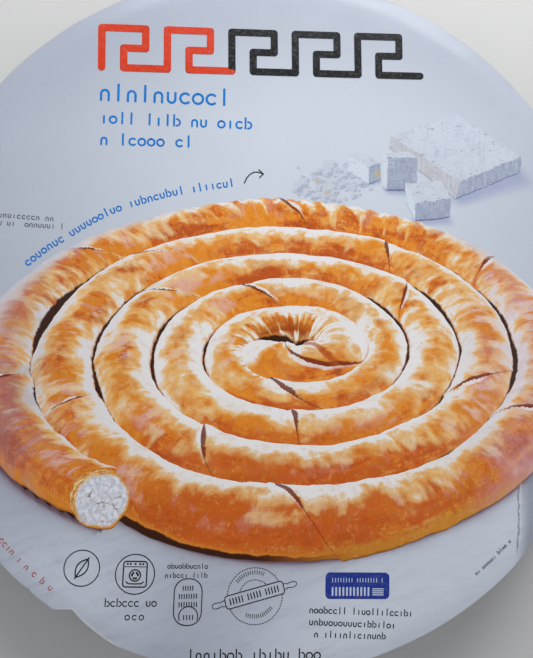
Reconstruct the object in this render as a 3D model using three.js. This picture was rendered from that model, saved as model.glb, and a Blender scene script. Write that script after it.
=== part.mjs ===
// A shut pack for a large round pie: a printed card cover lying on the rim of a
// pleated foil tray. Millimetres, +Z up, the print's upper side towards +Y.
// The origin is at the bottom centre, on the surface that the tray stands on.
// The tray is solid, because the shut pack can't be seen into.

import * as THREE from 'three';
import { mergeVertices } from 'three/addons/utils/BufferGeometryUtils.js';

// Driving dimensions of the card cover
const packHeight = 31;
const cardRadius = 150;
const cardThickness = 0.7;
const ridgeRadius = 141; // where the card bends over the tray's rim
const panelSag = 1; // how far the card sinks inside that ridge
const sagRun = 8; // radial distance over which most of the sag happens
const marginDrop = 1.4; // fall of the free margin outside the ridge
const marginCurve = 1.3; // exponent: the margin falls faster towards its edge
const cardRings = [50, 100, 124, 133, 138, 141, 144, 147, cardRadius];
const cardSectors = 120;

// The piece torn out of the card's edge, front left. Azimuths are in degrees
// from +X, and the tear is deepest close to its left end.
const tear = { from: -126, deepest: -123, to: -114, depth: 5.3 };
const tearReach = 12; // width of the margin that the tear pulls in

// The bent-down right side: everything beyond a straight crease slopes down.
const crease = { x: 105, y: -90, lean: 0.085 }; // lean is dx/dy along the crease
const bendAngle = 10; // degrees
const bendRounding = 5; // half width of the rounded crease
const bendFade = { full: -70, none: 15 }; // y where the bend starts to fade, and ends

// Driving dimensions of the foil tray
const footOuter = 118; // the flat ring that the tray stands on
const footInner = 94.5;
const footRound = { out: 2.8, up: 0.8 }; // start of the corner between foot and wall
const panelRise = 1.6; // the raised middle of the tray's bottom
const panelRadius = 91;
const wallFoot = { radius: 122.2, height: 2.8 };
const wallTop = { radius: 133, height: 25.6 };
const wallFlare = 0.85; // exponent: the wall leans out a little faster near its foot
const wallSteps = [0, 0.14, 0.53, 0.86, 1]; // shares of the wall's height
const pleatCount = 56;
const pleatSides = 3; // facets to a pleat
const pleatDepth = 1.2;
const pleatWaves = [ // how the pleats' depth varies round the tray
  { share: 0.25, turns: 5, phase: 1 },
  { share: 0.15, turns: 11, phase: 2 },
];
const flange = { inner: 134.2, outer: 138.8, height: 26.9, rise: 0.6 };
const beadRadius = 142.5; // outermost reach of the rolled edge
const beadLow = 27.1; // underside of the rolled edge
const beadArc = [-100, -45, 0, 45, 90, 150]; // degrees round the roll, from outwards
const fillRings = [138.4, 118, 60, 0];
const seatGap = 0.3; // between the card and the rolled edge that carries it
const fillGap = 1; // between the card and what it covers, inside the rim
const bendFoot = 12; // height in the wall where the bend starts to show

const cardMaterial = new THREE.MeshStandardMaterial({
  color: 0xc4ccd8, roughness: 0.35, metalness: 0,
});
const foilMaterial = new THREE.MeshStandardMaterial({
  color: 0xc9cbce, roughness: 0.32, metalness: 1,
});

const weldDistance = 1e-3; // points closer than this are one point

const { degToRad, radToDeg, lerp, smoothstep } = THREE.MathUtils;

// Height of the card's upper face, before the bend, at a distance from the middle.
function cardTop(radius) {
  if (radius > ridgeRadius) {
    const out = (radius - ridgeRadius) / (cardRadius - ridgeRadius);
    return packHeight - marginDrop * out ** marginCurve;
  }
  return packHeight - panelSag * (1 - Math.exp((radius - ridgeRadius) / sagRun));
}

// How far the bent side lies below its place in a flat pack.
function bendDepth(x, y) {
  const beyond = x - (crease.x + crease.lean * (y - crease.y));
  let ramp = Math.max(beyond, 0);
  if (Math.abs(beyond) < bendRounding) {
    ramp = (beyond + bendRounding) ** 2 / (4 * bendRounding);
  }
  return Math.tan(degToRad(bendAngle)) * ramp * (1 - smoothstep(y, bendFade.full, bendFade.none));
}

// Radius of the card's edge at an azimuth in degrees.
function edgeRadius(azimuth) {
  if (azimuth <= tear.from || azimuth >= tear.to) return cardRadius;
  const share = azimuth < tear.deepest
    ? (azimuth - tear.from) / (tear.deepest - tear.from)
    : (tear.to - azimuth) / (tear.to - tear.deepest);
  return cardRadius - tear.depth * share;
}

function moveCardPoint(p) {
  const inner = cardRadius - tearReach;
  const radius = Math.hypot(p.x, p.y);
  if (radius > inner) {
    const azimuth = radToDeg(Math.atan2(p.y, p.x));
    const share = (radius - inner) / tearReach;
    const moved = inner + share * (edgeRadius(azimuth) - inner);
    p.x *= moved / radius;
    p.y *= moved / radius;
  }
  p.z -= bendDepth(p.x, p.y);
}

// The pleats of the wall, uneven in depth as pressed foil is.
function moveTrayPoint(p) {
  const radius = Math.hypot(p.x, p.y);
  const up = (p.z - wallFoot.height) / (wallTop.height - wallFoot.height);
  if (radius > footOuter && radius <= wallTop.radius && up > 0 && up < 1) {
    const azimuth = Math.atan2(p.y, p.x);
    const unevenness = pleatWaves.reduce(
      (sum, wave) => sum + wave.share * Math.sin(wave.turns * azimuth + wave.phase),
      1,
    );
    const swell = Math.sqrt(Math.sin(Math.PI * up));
    const moved = radius + pleatDepth * unevenness * swell * Math.cos(pleatCount * azimuth);
    p.x *= moved / radius;
    p.y *= moved / radius;
  }
  p.z -= bendDepth(p.x, p.y) * smoothstep(p.z, bendFoot, wallTop.height);
}

// A closed body turned from a profile of [radius, height] pairs that starts and
// ends on the axis, with every point then moved by its own rule.
function turnedSolid(name, profile, sectors, movePoint, material) {
  const outline = profile.map(([radius, height]) => new THREE.Vector2(radius, height));
  const turned = new THREE.LatheGeometry(outline, sectors);
  turned.rotateX(Math.PI / 2);
  turned.deleteAttribute('normal');
  turned.deleteAttribute('uv');
  const geometry = mergeVertices(turned, weldDistance);
  const index = geometry.getIndex().array;
  const kept = [];
  for (let i = 0; i < index.length; i += 3) {
    const [a, b, c] = index.slice(i, i + 3);
    if (a !== b && b !== c && c !== a) kept.push(a, b, c);
  }
  geometry.setIndex(kept);
  const place = geometry.getAttribute('position');
  const p = new THREE.Vector3();
  for (let i = 0; i < place.count; i += 1) {
    p.fromBufferAttribute(place, i);
    movePoint(p);
    place.setXYZ(i, p.x, p.y, p.z);
  }
  geometry.computeVertexNormals();
  const mesh = new THREE.Mesh(geometry, material);
  mesh.name = name;
  return mesh;
}

function cardCover() {
  const upper = cardRings.map((radius) => [radius, cardTop(radius)]);
  const lower = upper.map(([radius, height]) => [radius, height - cardThickness]);
  const profile = [
    [0, cardTop(0) - cardThickness],
    ...lower,
    ...upper.toReversed(),
    [0, cardTop(0)],
  ];
  return turnedSolid('card_cover', profile, cardSectors, moveCardPoint, cardMaterial);
}

function foilTray() {
  const underCard = (radius, gap) => cardTop(radius) - cardThickness - gap;
  const bottom = [
    [0, panelRise],
    [panelRadius / 2, panelRise],
    [panelRadius, panelRise],
    [footInner, 0],
    [footOuter, 0],
    [footOuter + footRound.out, footRound.up],
  ];
  const wall = wallSteps.map((share) => [
    lerp(wallFoot.radius, wallTop.radius, share ** wallFlare),
    lerp(wallFoot.height, wallTop.height, share),
  ]);
  const rim = [
    [flange.inner, flange.height],
    [flange.outer, flange.height + flange.rise],
  ];
  const beadTop = underCard(ridgeRadius, seatGap);
  const roll = (beadTop - beadLow) / 2;
  const bead = beadArc.map((angle) => [
    beadRadius - roll + roll * Math.cos(degToRad(angle)),
    beadLow + roll + roll * Math.sin(degToRad(angle)),
  ]);
  const top = fillRings.map((radius) => [radius, underCard(radius, fillGap)]);
  const profile = [...bottom, ...wall, ...rim, ...bead, ...top];
  return turnedSolid('foil_tray', profile, pleatCount * pleatSides, moveTrayPoint, foilMaterial);
}

const pack = new THREE.Group();
pack.add(foilTray(), cardCover());

export default pack;
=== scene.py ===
"""A shut pack for a large round pie: a printed card cover on a pleated foil tray.

The print is made of fields of colour and simple shapes: a coiled pie, crumbly
cheese, a key-pattern band, and rows of plain strokes where a pack has words.
"""

from math import cos, hypot, pi, radians, sin, tan

import bpy
import numpy as np
from bpy.props import FloatProperty, FloatVectorProperty, IntProperty, PointerProperty
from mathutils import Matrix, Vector


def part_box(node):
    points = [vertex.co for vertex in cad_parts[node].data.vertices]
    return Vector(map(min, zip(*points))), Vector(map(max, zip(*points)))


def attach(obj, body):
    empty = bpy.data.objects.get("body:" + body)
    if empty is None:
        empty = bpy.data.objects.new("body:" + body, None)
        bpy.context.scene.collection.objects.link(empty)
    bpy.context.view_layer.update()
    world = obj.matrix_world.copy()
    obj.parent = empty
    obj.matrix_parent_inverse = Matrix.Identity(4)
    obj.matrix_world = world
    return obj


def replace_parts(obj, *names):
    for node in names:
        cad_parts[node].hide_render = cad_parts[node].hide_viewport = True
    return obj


bl_info = {
    "name": "Round Pie Pack",
    "version": (1, 0, 0),
    "blender": (4, 5, 0),
    "location": "View3D > Sidebar > Pie Pack",
    "description": "Builds a shut round pie pack: printed card cover and pleated foil tray",
    "category": "Add Mesh",
}

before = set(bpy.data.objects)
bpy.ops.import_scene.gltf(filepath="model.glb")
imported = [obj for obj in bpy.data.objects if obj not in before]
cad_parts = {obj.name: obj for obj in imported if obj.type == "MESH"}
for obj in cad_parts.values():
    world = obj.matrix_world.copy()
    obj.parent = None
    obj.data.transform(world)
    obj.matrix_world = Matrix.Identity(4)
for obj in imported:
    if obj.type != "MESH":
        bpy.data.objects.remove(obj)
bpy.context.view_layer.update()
CARD_LOW, CARD_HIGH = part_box("card_cover")
TRAY_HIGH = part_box("foil_tray")[1]

MM = 0.001

# The card cover, as the frame has it
PACK_HEIGHT = CARD_HIGH.z
CARD_RADIUS = (CARD_HIGH.y - CARD_LOW.y) / 2
CARD_THICKNESS = 0.7 * MM
RIDGE_RADIUS = 0.94 * CARD_RADIUS  # where the card bends over the tray's rim
PANEL_SAG = 1 * MM
SAG_RUN = 22 * MM
MARGIN_DROP = 0.9 * MM
MARGIN_CURVE = 1.3
RIDGE_SOFTNESS = 0.2 * MM
CREASE_X, CREASE_Y, CREASE_LEAN = 105 * MM, -90 * MM, 0.085
BEND_ANGLE = radians(10)
BEND_ROUNDING = 5 * MM
BEND_FULL_Y, BEND_NONE_Y = -70 * MM, 15 * MM
TEAR_REACH = 12 * MM  # width of the margin that the tear pulls in

# Azimuths in degrees and depths in mm of the nick and the tear in the card's edge
EDGE_CUTS = (
    (-131.6, 0), (-130.8, 0.6), (-130.0, 0), (-125.9, 0), (-123.5, 4.4),
    (-121.1, 2.6), (-119.2, 1.6), (-117.3, 0.7), (-115.4, 0),
)

# The foil tray, as the frame has it
WALL_FOOT = (122.2 * MM, 2.8 * MM)
WALL_TOP = (133 * MM, 25.6 * MM)
WALL_FLARE = 0.85  # exponent: the wall leans out a little faster near its foot
BEAD_RADIUS, BEAD_LOW = TRAY_HIGH.y, 27.1 * MM
SEAT_GAP = 0.3 * MM  # between the card and the rolled edge that carries it
BEND_FOOT = 12 * MM  # height in the wall where the bend starts to show

# Radius and height in mm of the tray's bottom, of its flange under the rolled edge,
# and of what fills it under the card
TRAY_BOTTOM = (
    (0, 1.6), (45, 1.6), (88, 1.6), (91, 1.55), (93, 0.5), (94.5, 0), (106, 0), (117, 0),
    (118.6, 0.05), (119.8, 0.4), (120.8, 0.8), (121.6, 1.6),
)
TRAY_FLANGE = ((133.3, 26.5), (134.2, 26.9), (136.4, 27.2), (138.4, 27.5))
TRAY_FILL = ((138.4, 28.9), (132, 28.4), (118, 28.3), (60, 28.3), (0, 28.3))

# The picture on the card is a scene of its own on a level table. It is seen from
# the front at this elevation and distance, and drawn about this point of the card.
VIEW_ELEVATION = radians(36.2)
VIEW_DISTANCE = 489 * MM
PICTURE_CENTRE = (10 * MM, -26 * MM)

# The pictured roll of pastry. Lengths along it are in metres from its cut end, and
# turns of its coil count from there too.
ROLL_GIRTH = 21 * MM  # half the way round it, so that patterns keep their proportions
TWIST_PITCH = 15 * MM  # between the windings of its wrung stretch
SEAM_DISTANCE = 124 * MM
CUT_REACH, TUCK_REACH = 0.1, 0.2  # turns over which the cut end thins and is tucked in
FRONT_SWELL = 4.6 * MM  # extra width where the coil's second turn begins
SWELL_IN, SWELL_OUT = (0.8, 0.92), (1.1, 0.94)  # turns over which it comes and goes
FLAP_START, FLAP_EDGE = 2.045, 2.0705  # the loose end of pastry near the middle

# Ink lies this far over the card, and nearer things lie a little higher
INK_LIFT = 0.03 * MM
PICTURE_RELIEF = 0.09 * MM
SIGN_LIFT = 0.05 * MM
OVERPRINT_LIFT = 0.08 * MM
BAND_LIFT = 0.11 * MM  # the band crosses the card's ridge
PICTURE_NEAR, PICTURE_FAR = 0.78, 1.42  # range of the picture's relative distances

FINE_LINE, BOLD_LINE = 0.42 * MM, 0.52 * MM
PRINT_GLOSS = 0.25

BODY = "root"


# ---------------------------------------------------------------- numbers

def rgb(red, green, blue):
    """Linear colour of an 8-bit display colour."""
    shares = (value / 255 for value in (red, green, blue))
    return tuple(s / 12.92 if s <= 0.04045 else ((s + 0.055) / 1.055) ** 2.4 for s in shares)


def smoothstep(value, low, high):
    """0 below low, 1 above high, smooth in between; low may be the higher one."""
    share = np.clip((value - low) / (high - low), 0, 1)
    return share * share * (3 - 2 * share)


def waves(x, y, length, seed, count=7):
    """Smooth seeded waves of about the given length, from -1 to 1."""
    draw = np.random.default_rng(seed)
    turns = draw.uniform(0, 2 * pi, count)
    shifts = draw.uniform(0, 2 * pi, count)
    rates = 2 * pi / (length * draw.uniform(0.7, 1.4, count))
    total = 0
    for turn, shift, rate in zip(turns, shifts, rates):
        total = total + np.cos(rate * (x * cos(turn) + y * sin(turn)) + shift)
    return total / count


# ---------------------------------------------------------------- hues

# These go with the inks in the settings.

# The printed ground, its drawn shadows, its wear, and painted light: shade on the bent side, and
# shade and a highlight along the crease
STREAK_GREY = rgb(176, 174, 190)
SPECK_MAUVE = rgb(150, 138, 160)
PIE_HAZE = rgb(128, 96, 114)
PIE_SHADOW = rgb(84, 44, 48)
PIE_CONTACT = rgb(44, 14, 8)
CHEESE_SHADOW = rgb(134, 146, 192)
BENT_SIDE_SHADE = rgb(124, 126, 142)
WORN_WHITE_AND_HIGHLIGHT = rgb(226, 228, 234)
CREASE_SHADE_GREY = rgb(84, 84, 98)
TORN_WHITE = rgb(224, 224, 226)

# Pastry
CRUST_RED = rgb(210, 88, 24)
CRUST_TAN = rgb(210, 122, 34)
UNDERSIDE_GOLD = rgb(212, 144, 50)
STREAK_RED = rgb(196, 82, 24)
PATCH_ORANGE = rgb(226, 108, 30)
FLECK_BROWN = rgb(190, 86, 30)
FLECK_PALE = rgb(254, 214, 136)
INNER_BROWN = rgb(150, 66, 22)
HOLE_BROWN = rgb(70, 30, 16)
GLARE_PINK = rgb(242, 212, 212)
CREST_RUST = rgb(214, 94, 28)
CREAM_WARM = rgb(250, 218, 168)
CREAM_COOL = rgb(242, 238, 238)
VEIN_BUFF = rgb(236, 208, 176)
WASH_PINK = rgb(226, 200, 208)
WASH_GREY = rgb(158, 146, 156)
SEAM_BROWN = rgb(124, 34, 12)
FLAP_BROWN = rgb(190, 86, 34)
TOUCH_GOLD = rgb(232, 142, 48)
GAP_BROWN = rgb(44, 14, 6)
BLUR_PALE = rgb(220, 212, 216)
BLUR_GROUND = rgb(206, 210, 220)

# The cut end's filling and crust
CURD_GREY = rgb(212, 213, 222)
CURD_WHITE = rgb(244, 246, 252)
CURD_LINE = rgb(186, 182, 176)
CURD_PIT = rgb(136, 104, 46)
RING_BROWN = rgb(176, 84, 26)
RING_GOLD = rgb(236, 160, 44)
RING_PALE = rgb(252, 234, 186)

# The drawn cheese
CHEESE_WHITE = rgb(216, 222, 233)
CHEESE_DULL = rgb(180, 187, 204)
RIGHT_PALE = rgb(200, 208, 223)
RIGHT_DARK = rgb(138, 148, 175)
LEFT_PALE = rgb(222, 222, 228)
LEFT_DARK = rgb(182, 183, 192)
LEFT_WHITE = rgb(222, 229, 240)
CHEESE_HOLE = rgb(140, 148, 164)
CHEESE_OCHRE = rgb(206, 182, 106)
CHEESE_FOOT = rgb(104, 112, 156)

# Bare board, foil, floor and the rest
EDGE_PALE = rgb(214, 212, 208)
EDGE_DARK = rgb(176, 170, 162)
BACK_PALE = rgb(192, 186, 176)
BACK_DARK = rgb(168, 160, 150)
BACK_CLOUD = rgb(205, 201, 194)
FOIL_BRIGHT = rgb(222, 223, 226)
FOIL_DULL = rgb(202, 203, 207)
FLOOR_DARK = rgb(214, 213, 210)
FLOOR_PALE = rgb(222, 221, 218)
BAR_PALE = rgb(205, 214, 235)
ROOM_WHITE = rgb(225, 230, 240)


# ---------------------------------------------------------------- the card's form

def beyond_crease(x, y):
    """How far a point lies to the right of the crease."""
    return x - (CREASE_X + CREASE_LEAN * (y - CREASE_Y))


def bend_depth(x, y):
    """How far the bent side lies below its place in a flat pack."""
    beyond = beyond_crease(x, y)
    rounded = (beyond + BEND_ROUNDING) ** 2 / (4 * BEND_ROUNDING)
    ramp = np.where(np.abs(beyond) < BEND_ROUNDING, rounded, np.maximum(beyond, 0))
    return tan(BEND_ANGLE) * ramp * (1 - smoothstep(y, BEND_FULL_Y, BEND_NONE_Y))


def crease_wander(y):
    """How far the worn crease strays from its straight line."""
    return 1.6 * MM * waves(y, 0 * y, 17 * MM, 21)


def crease_wear(x, y):
    """1 on the worn stretch of the crease, falling to 0 a few millimetres away."""
    across = np.exp(-((beyond_crease(x, y) + crease_wander(y)) / (2.6 * MM)) ** 2)
    stretch = smoothstep(y, -112 * MM, -92 * MM) * smoothstep(y, -12 * MM, -38 * MM)
    return across * stretch


def card_height(x, y):
    """Height of the card's upper face."""
    radius = np.hypot(x, y)
    sink = 1 - np.exp(np.minimum(radius - RIDGE_RADIUS, 0) / SAG_RUN)
    out = np.clip((radius - RIDGE_RADIUS) / (CARD_RADIUS - RIDGE_RADIUS), 0, 1)
    depth = np.hypot(PANEL_SAG * sink + MARGIN_DROP * out ** MARGIN_CURVE, RIDGE_SOFTNESS)
    settings = bpy.context.scene.pie_pack_card
    swell = settings.wave_height * sink * waves(x, y, settings.wave_length, 3)
    ripple = settings.edge_ripple * out ** 2 * (waves(x, y, 26 * MM, 5) - 0.6)
    crumple = settings.crease_crumple * crease_wear(x, y) * waves(x, y, 5 * MM, 9)
    return PACK_HEIGHT - depth + swell + ripple + crumple - bend_depth(x, y)


def edge_radius(azimuth):
    """Radius of the card's edge at azimuths in degrees."""
    places, depths = zip(*EDGE_CUTS)
    return CARD_RADIUS - MM * np.interp(azimuth, places, depths)


# ---------------------------------------------------------------- the picture's view

def picture_place(points):
    """Card x and y of points of the pictured scene, and their relative distance."""
    lift, run = cos(VIEW_ELEVATION), sin(VIEW_ELEVATION)
    x, y, z = points.T
    far = 1 + (y * lift - z * run) / VIEW_DISTANCE
    return PICTURE_CENTRE[0] + x / far, PICTURE_CENTRE[1] + (y * run + z * lift) / far, far


def table_place(x, y):
    """The pictured table's point that is drawn at a point of the card."""
    across, up = x - PICTURE_CENTRE[0], y - PICTURE_CENTRE[1]
    depth = up / (sin(VIEW_ELEVATION) - up * cos(VIEW_ELEVATION) / VIEW_DISTANCE)
    return across * (1 + depth * cos(VIEW_ELEVATION) / VIEW_DISTANCE), depth


# ---------------------------------------------------------------- node helpers

def plug(tree, socket, value):
    """Links a socket to a field or a socket, or gives it a plain value."""
    if isinstance(value, Field):
        tree.links.new(value.socket, socket)
    elif isinstance(value, bpy.types.NodeSocket):
        tree.links.new(value, socket)
    elif socket.type == "RGBA" and len(value) == 3:
        socket.default_value = (*value, 1)
    else:
        socket.default_value = value


def add(tree, kind, inputs=None, **settings):
    """A new node with its settings and its inputs, which go by name or number."""
    made = tree.nodes.new(kind)
    for name, value in settings.items():
        setattr(made, name, value)
    for key, value in (inputs or {}).items():
        plug(tree, made.inputs[key], value)
    return made


class Field:
    """A number that varies over a surface, so that node formulas read as such."""

    def __init__(self, tree, socket):
        self.tree = tree
        self.socket = socket

    def op(self, kind, *others):
        made = add(self.tree, "ShaderNodeMath", operation=kind)
        for place, value in enumerate((self, *others)):
            plug(self.tree, made.inputs[place], value)
        return Field(self.tree, made.outputs[0])

    def __add__(self, other):
        return self.op("ADD", other)

    def __sub__(self, other):
        return self.op("SUBTRACT", other)

    def __mul__(self, other):
        return self.op("MULTIPLY", other)

    def __truediv__(self, other):
        return self.op("DIVIDE", other)

    def __pow__(self, other):
        return self.op("POWER", other)

    def __neg__(self):
        return self.op("MULTIPLY", -1.0)

    def __abs__(self):
        return self.op("ABSOLUTE")

    def minus_from(self, value):
        """value less this field."""
        return (-self) + value

    def sin(self):
        return self.op("SINE")

    def cos(self):
        return self.op("COSINE")

    def sqrt(self):
        return self.op("SQRT")

    def exp(self):
        return self.op("EXPONENT")

    def fract(self):
        return self.op("FRACT")

    def at_least(self, other):
        return self.op("MAXIMUM", other)

    def step(self, low, high):
        """0 to 1 from low to high, smoothly; low may be the higher one."""
        made = add(self.tree, "ShaderNodeMapRange", {"Value": self},
                   interpolation_type="SMOOTHSTEP")
        falling = low > high
        plug(self.tree, made.inputs["From Min"], min(low, high))
        plug(self.tree, made.inputs["From Max"], max(low, high))
        plug(self.tree, made.inputs["To Min"], 1.0 if falling else 0.0)
        plug(self.tree, made.inputs["To Max"], 0.0 if falling else 1.0)
        return Field(self.tree, made.outputs["Result"])


def split(tree, vector):
    """The three fields of a vector socket."""
    made = add(tree, "ShaderNodeSeparateXYZ", {0: vector})
    return [Field(tree, made.outputs[i]) for i in range(3)]


def join(tree, x, y, z=0.0):
    """Vector socket of three fields or numbers."""
    made = add(tree, "ShaderNodeCombineXYZ", {0: x, 1: y, 2: z})
    return made.outputs[0]


def noise(tree, vector, scale, detail=2.0, roughness=0.5, distortion=0.0):
    """Smooth noise that lies round 0.5."""
    made = add(tree, "ShaderNodeTexNoise", {
        "Vector": vector, "Scale": scale, "Detail": detail,
        "Roughness": roughness, "Distortion": distortion,
    })
    return Field(tree, made.outputs[0])


def blend(tree, share, base, over):
    """Colour socket of one colour laid over another."""
    made = add(tree, "ShaderNodeMix", {0: share, 6: base, 7: over}, data_type="RGBA")
    return made.outputs[2]


class Paint:
    """A colour that takes one coat after another."""

    def __init__(self, tree, colour):
        self.tree = tree
        self.colour = colour

    def coat(self, share, colour):
        """Lays a colour over the paint, by a share of 0 to 1."""
        self.colour = blend(self.tree, share, self.colour, colour)


def object_place(tree):
    """Vector socket of the place on the object that a material colours."""
    return add(tree, "ShaderNodeTexCoord").outputs["Object"]


def value_of(tree, name):
    """A stored number of the mesh, as a field of its material."""
    return Field(tree, add(tree, "ShaderNodeAttribute", attribute_name=name).outputs["Fac"])


def vector_of(tree, name):
    """A stored vector of the mesh, as a socket of its material."""
    return add(tree, "ShaderNodeAttribute", attribute_name=name).outputs["Vector"]


def bump(tree, shader, strength, distance, height):
    """Fine relief on a material's shader."""
    made = add(tree, "ShaderNodeBump", {
        "Strength": strength, "Distance": distance, "Height": height})
    plug(tree, shader.inputs["Normal"], made.outputs[0])


SOCKETS = {float: "NodeSocketFloat", int: "NodeSocketInt", tuple: "NodeSocketColor"}


def geometry_tree(name, defaults):
    """A new geometry tree with named inputs: the tree, its fields, and its geometry input."""
    tree = bpy.data.node_groups.new(name, "GeometryNodeTree")
    tree.interface.new_socket("Geometry", in_out="INPUT", socket_type="NodeSocketGeometry")
    for label, value in defaults.items():
        made = tree.interface.new_socket(label, in_out="INPUT", socket_type=SOCKETS[type(value)])
        made.default_value = value
    tree.interface.new_socket("Geometry", in_out="OUTPUT", socket_type="NodeSocketGeometry")
    source = tree.nodes.new("NodeGroupInput")
    fields = {label: Field(tree, source.outputs[label]) for label in defaults}
    return tree, fields, source.outputs["Geometry"]


def close_tree(tree, geometry, material):
    """Ends a geometry tree: instances made real, and the material set."""
    real = add(tree, "GeometryNodeRealizeInstances", {0: geometry})
    dressed = add(tree, "GeometryNodeSetMaterial", {
        "Geometry": real.outputs[0], "Material": material})
    end = tree.nodes.new("NodeGroupOutput")
    tree.links.new(dressed.outputs[0], end.inputs[0])


def keep_vector(tree, geometry, name, vector):
    """Stores a vector on the points under a name."""
    made = add(tree, "GeometryNodeStoreNamedAttribute", {
        "Geometry": geometry, "Name": name, "Value": vector,
    }, data_type="FLOAT_VECTOR", domain="POINT")
    return made.outputs[0]


def grow(name, tree, values, source=None):
    """An object whose plain mesh is what the tree makes of the source mesh."""
    piece = bpy.data.objects.new(name, source or bpy.data.meshes.new(name))
    bpy.context.scene.collection.objects.link(piece)
    modifier = piece.modifiers.new("Form", "NODES")
    modifier.node_group = tree
    identifiers = {item.name: item.identifier for item in tree.interface.items_tree
                   if item.in_out == "INPUT"}
    for label, value in values.items():
        modifier[identifiers[label]] = value
    graph = bpy.context.evaluated_depsgraph_get()
    made = bpy.data.meshes.new_from_object(
        piece.evaluated_get(graph), preserve_all_data_layers=True, depsgraph=graph)
    piece.modifiers.remove(modifier)
    piece.data = made
    made.name = name
    return piece


# ---------------------------------------------------------------- mesh helpers

def points_of(mesh):
    """A mesh's points, one to a row."""
    flat = np.empty(3 * len(mesh.vertices))
    mesh.vertices.foreach_get("co", flat)
    return flat.reshape(-1, 3)


def vectors_of(mesh, name):
    """A stored vector of each point."""
    flat = np.empty(3 * len(mesh.vertices))
    mesh.attributes[name].data.foreach_get("vector", flat)
    return flat.reshape(-1, 3)


def faces_of(mesh):
    """Corner indices of each face, which all have as many corners."""
    flat = np.empty(len(mesh.loops), int)
    mesh.loops.foreach_get("vertex_index", flat)
    return flat.reshape(len(mesh.polygons), -1)


def set_points(mesh, points):
    """Moves a mesh's points."""
    mesh.vertices.foreach_set("co", np.ascontiguousarray(points, dtype=np.float32).ravel())
    mesh.update()


def set_values(mesh, name, values):
    """Stores a number with each point."""
    made = mesh.attributes.new(name, "FLOAT", "POINT")
    made.data.foreach_set("value", np.ascontiguousarray(values, dtype=np.float32))


def set_vectors(mesh, name, values):
    """Stores a vector with each point."""
    made = mesh.attributes.new(name, "FLOAT_VECTOR", "POINT")
    made.data.foreach_set("vector", np.ascontiguousarray(values, dtype=np.float32).ravel())


def mesh_piece(name, points, faces, *materials):
    """A new smooth object from points and faces, with its materials."""
    mesh = bpy.data.meshes.new(name)
    mesh.from_pydata(np.asarray(points).tolist(), [], [list(map(int, face)) for face in faces])
    mesh.shade_smooth()
    for material in materials:
        mesh.materials.append(material)
    piece = bpy.data.objects.new(name, mesh)
    bpy.context.scene.collection.objects.link(piece)
    return piece


def settle(piece):
    """Makes a finished piece ride on the pack."""
    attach(piece, BODY)
    return piece


def lay_on_card(points, lift):
    """Flat points, x and y, as points on the card."""
    x, y = np.asarray(points, float).T[:2]
    return np.column_stack((x, y, card_height(x, y) + lift))


def joined(shapes):
    """Points and faces of flat shapes, each a pair of those, as one shape."""
    points, faces = [], []
    for shape_points, shape_faces in shapes:
        faces += [[corner + len(points) for corner in face] for face in shape_faces]
        points += [(x, y, 0) for x, y in shape_points]
    return points, faces


def print_piece(name, shapes, material, lift):
    """One printed piece from flat shapes."""
    points, faces = joined(shapes)
    piece = mesh_piece(name, lay_on_card(points, lift), faces, material)
    return settle(piece)


def picture_piece(name, points, normals, places, faces, material):
    """Draws a modelled form on the card, as the picture's viewer sees it."""
    x, y, far = picture_place(points)
    corners = faces[:, [0, 1, 2, -1]]
    ax, ay = x[corners[:, 2]] - x[corners[:, 0]], y[corners[:, 2]] - y[corners[:, 0]]
    bx, by = x[corners[:, 3]] - x[corners[:, 1]], y[corners[:, 3]] - y[corners[:, 1]]
    shown = ax * by - ay * bx > 1e-10  # faces that show their front, and aren't slivers
    shown &= ~hidden_faces(x, y, far, faces)
    kept = faces[shown]
    used = np.unique(kept)
    renumber = np.full(len(points), -1)
    renumber[used] = np.arange(len(used))
    nearness = (PICTURE_FAR - far) / (PICTURE_FAR - PICTURE_NEAR)
    height = card_height(x, y) + INK_LIFT + PICTURE_RELIEF * nearness
    drawn = np.column_stack((x, y, height))[used]
    piece = mesh_piece(name, drawn, renumber[kept], material)
    set_vectors(piece.data, "form_normal", normals[used])
    set_vectors(piece.data, "form_place", places[used])
    return settle(piece)


def hidden_faces(x, y, far, faces, cell=1.3 * MM, slack=0.014):
    """Which faces of a pictured form lie behind nearer ones."""
    columns = np.floor((x[faces].mean(1) + CARD_RADIUS) / cell).astype(int)
    rows = np.floor((y[faces].mean(1) + CARD_RADIUS) / cell).astype(int)
    distance = far[faces].mean(1)
    columns -= columns.min() - 1
    rows -= rows.min() - 1
    nearest = np.full((columns.max() + 2, rows.max() + 2), 9.0)
    np.minimum.at(nearest, (columns, rows), distance)
    around = [nearest[columns + i, rows + j] for i in (-1, 0, 1) for j in (-1, 0, 1)]
    return distance > np.max(around, axis=0) + slack


# ---------------------------------------------------------------- flat shapes

def ribbon(points, width, closed=False):
    """A flat stroke along a line of points, with round ends."""
    line = np.asarray(points, float)
    if closed:
        before, after = np.roll(line, 1, 0), np.roll(line, -1, 0)
    else:
        before, after = np.vstack((line[:1], line[:-1])), np.vstack((line[1:], line[-1:]))
    along = after - before
    along /= np.hypot(*along.T)[:, None]
    side = np.column_stack((-along[:, 1], along[:, 0])) * width / 2
    made = np.vstack((line - side, line + side))
    count = len(line)
    spans = count if closed else count - 1
    faces = [[i, (i + 1) % count, count + (i + 1) % count, count + i] for i in range(spans)]
    if not closed:
        for end, sense in ((0, -1), (count - 1, 1)):
            turn = np.linspace(-pi / 2, pi / 2, 9)[:, None]
            cap = line[end] + width / 2 * (
                sense * along[end] * np.cos(turn) + sense * side[end] / (width / 2) * np.sin(turn))
            start = len(made)
            made = np.vstack((made, cap))
            faces.append(list(range(start, start + len(cap))))
    return made, faces


def arc(centre, radius, start, end, count):
    """Points on an arc between two angles in degrees."""
    turn = np.radians(np.linspace(start, end, count))
    return np.column_stack((centre[0] + radius * np.cos(turn), centre[1] + radius * np.sin(turn)))


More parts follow.
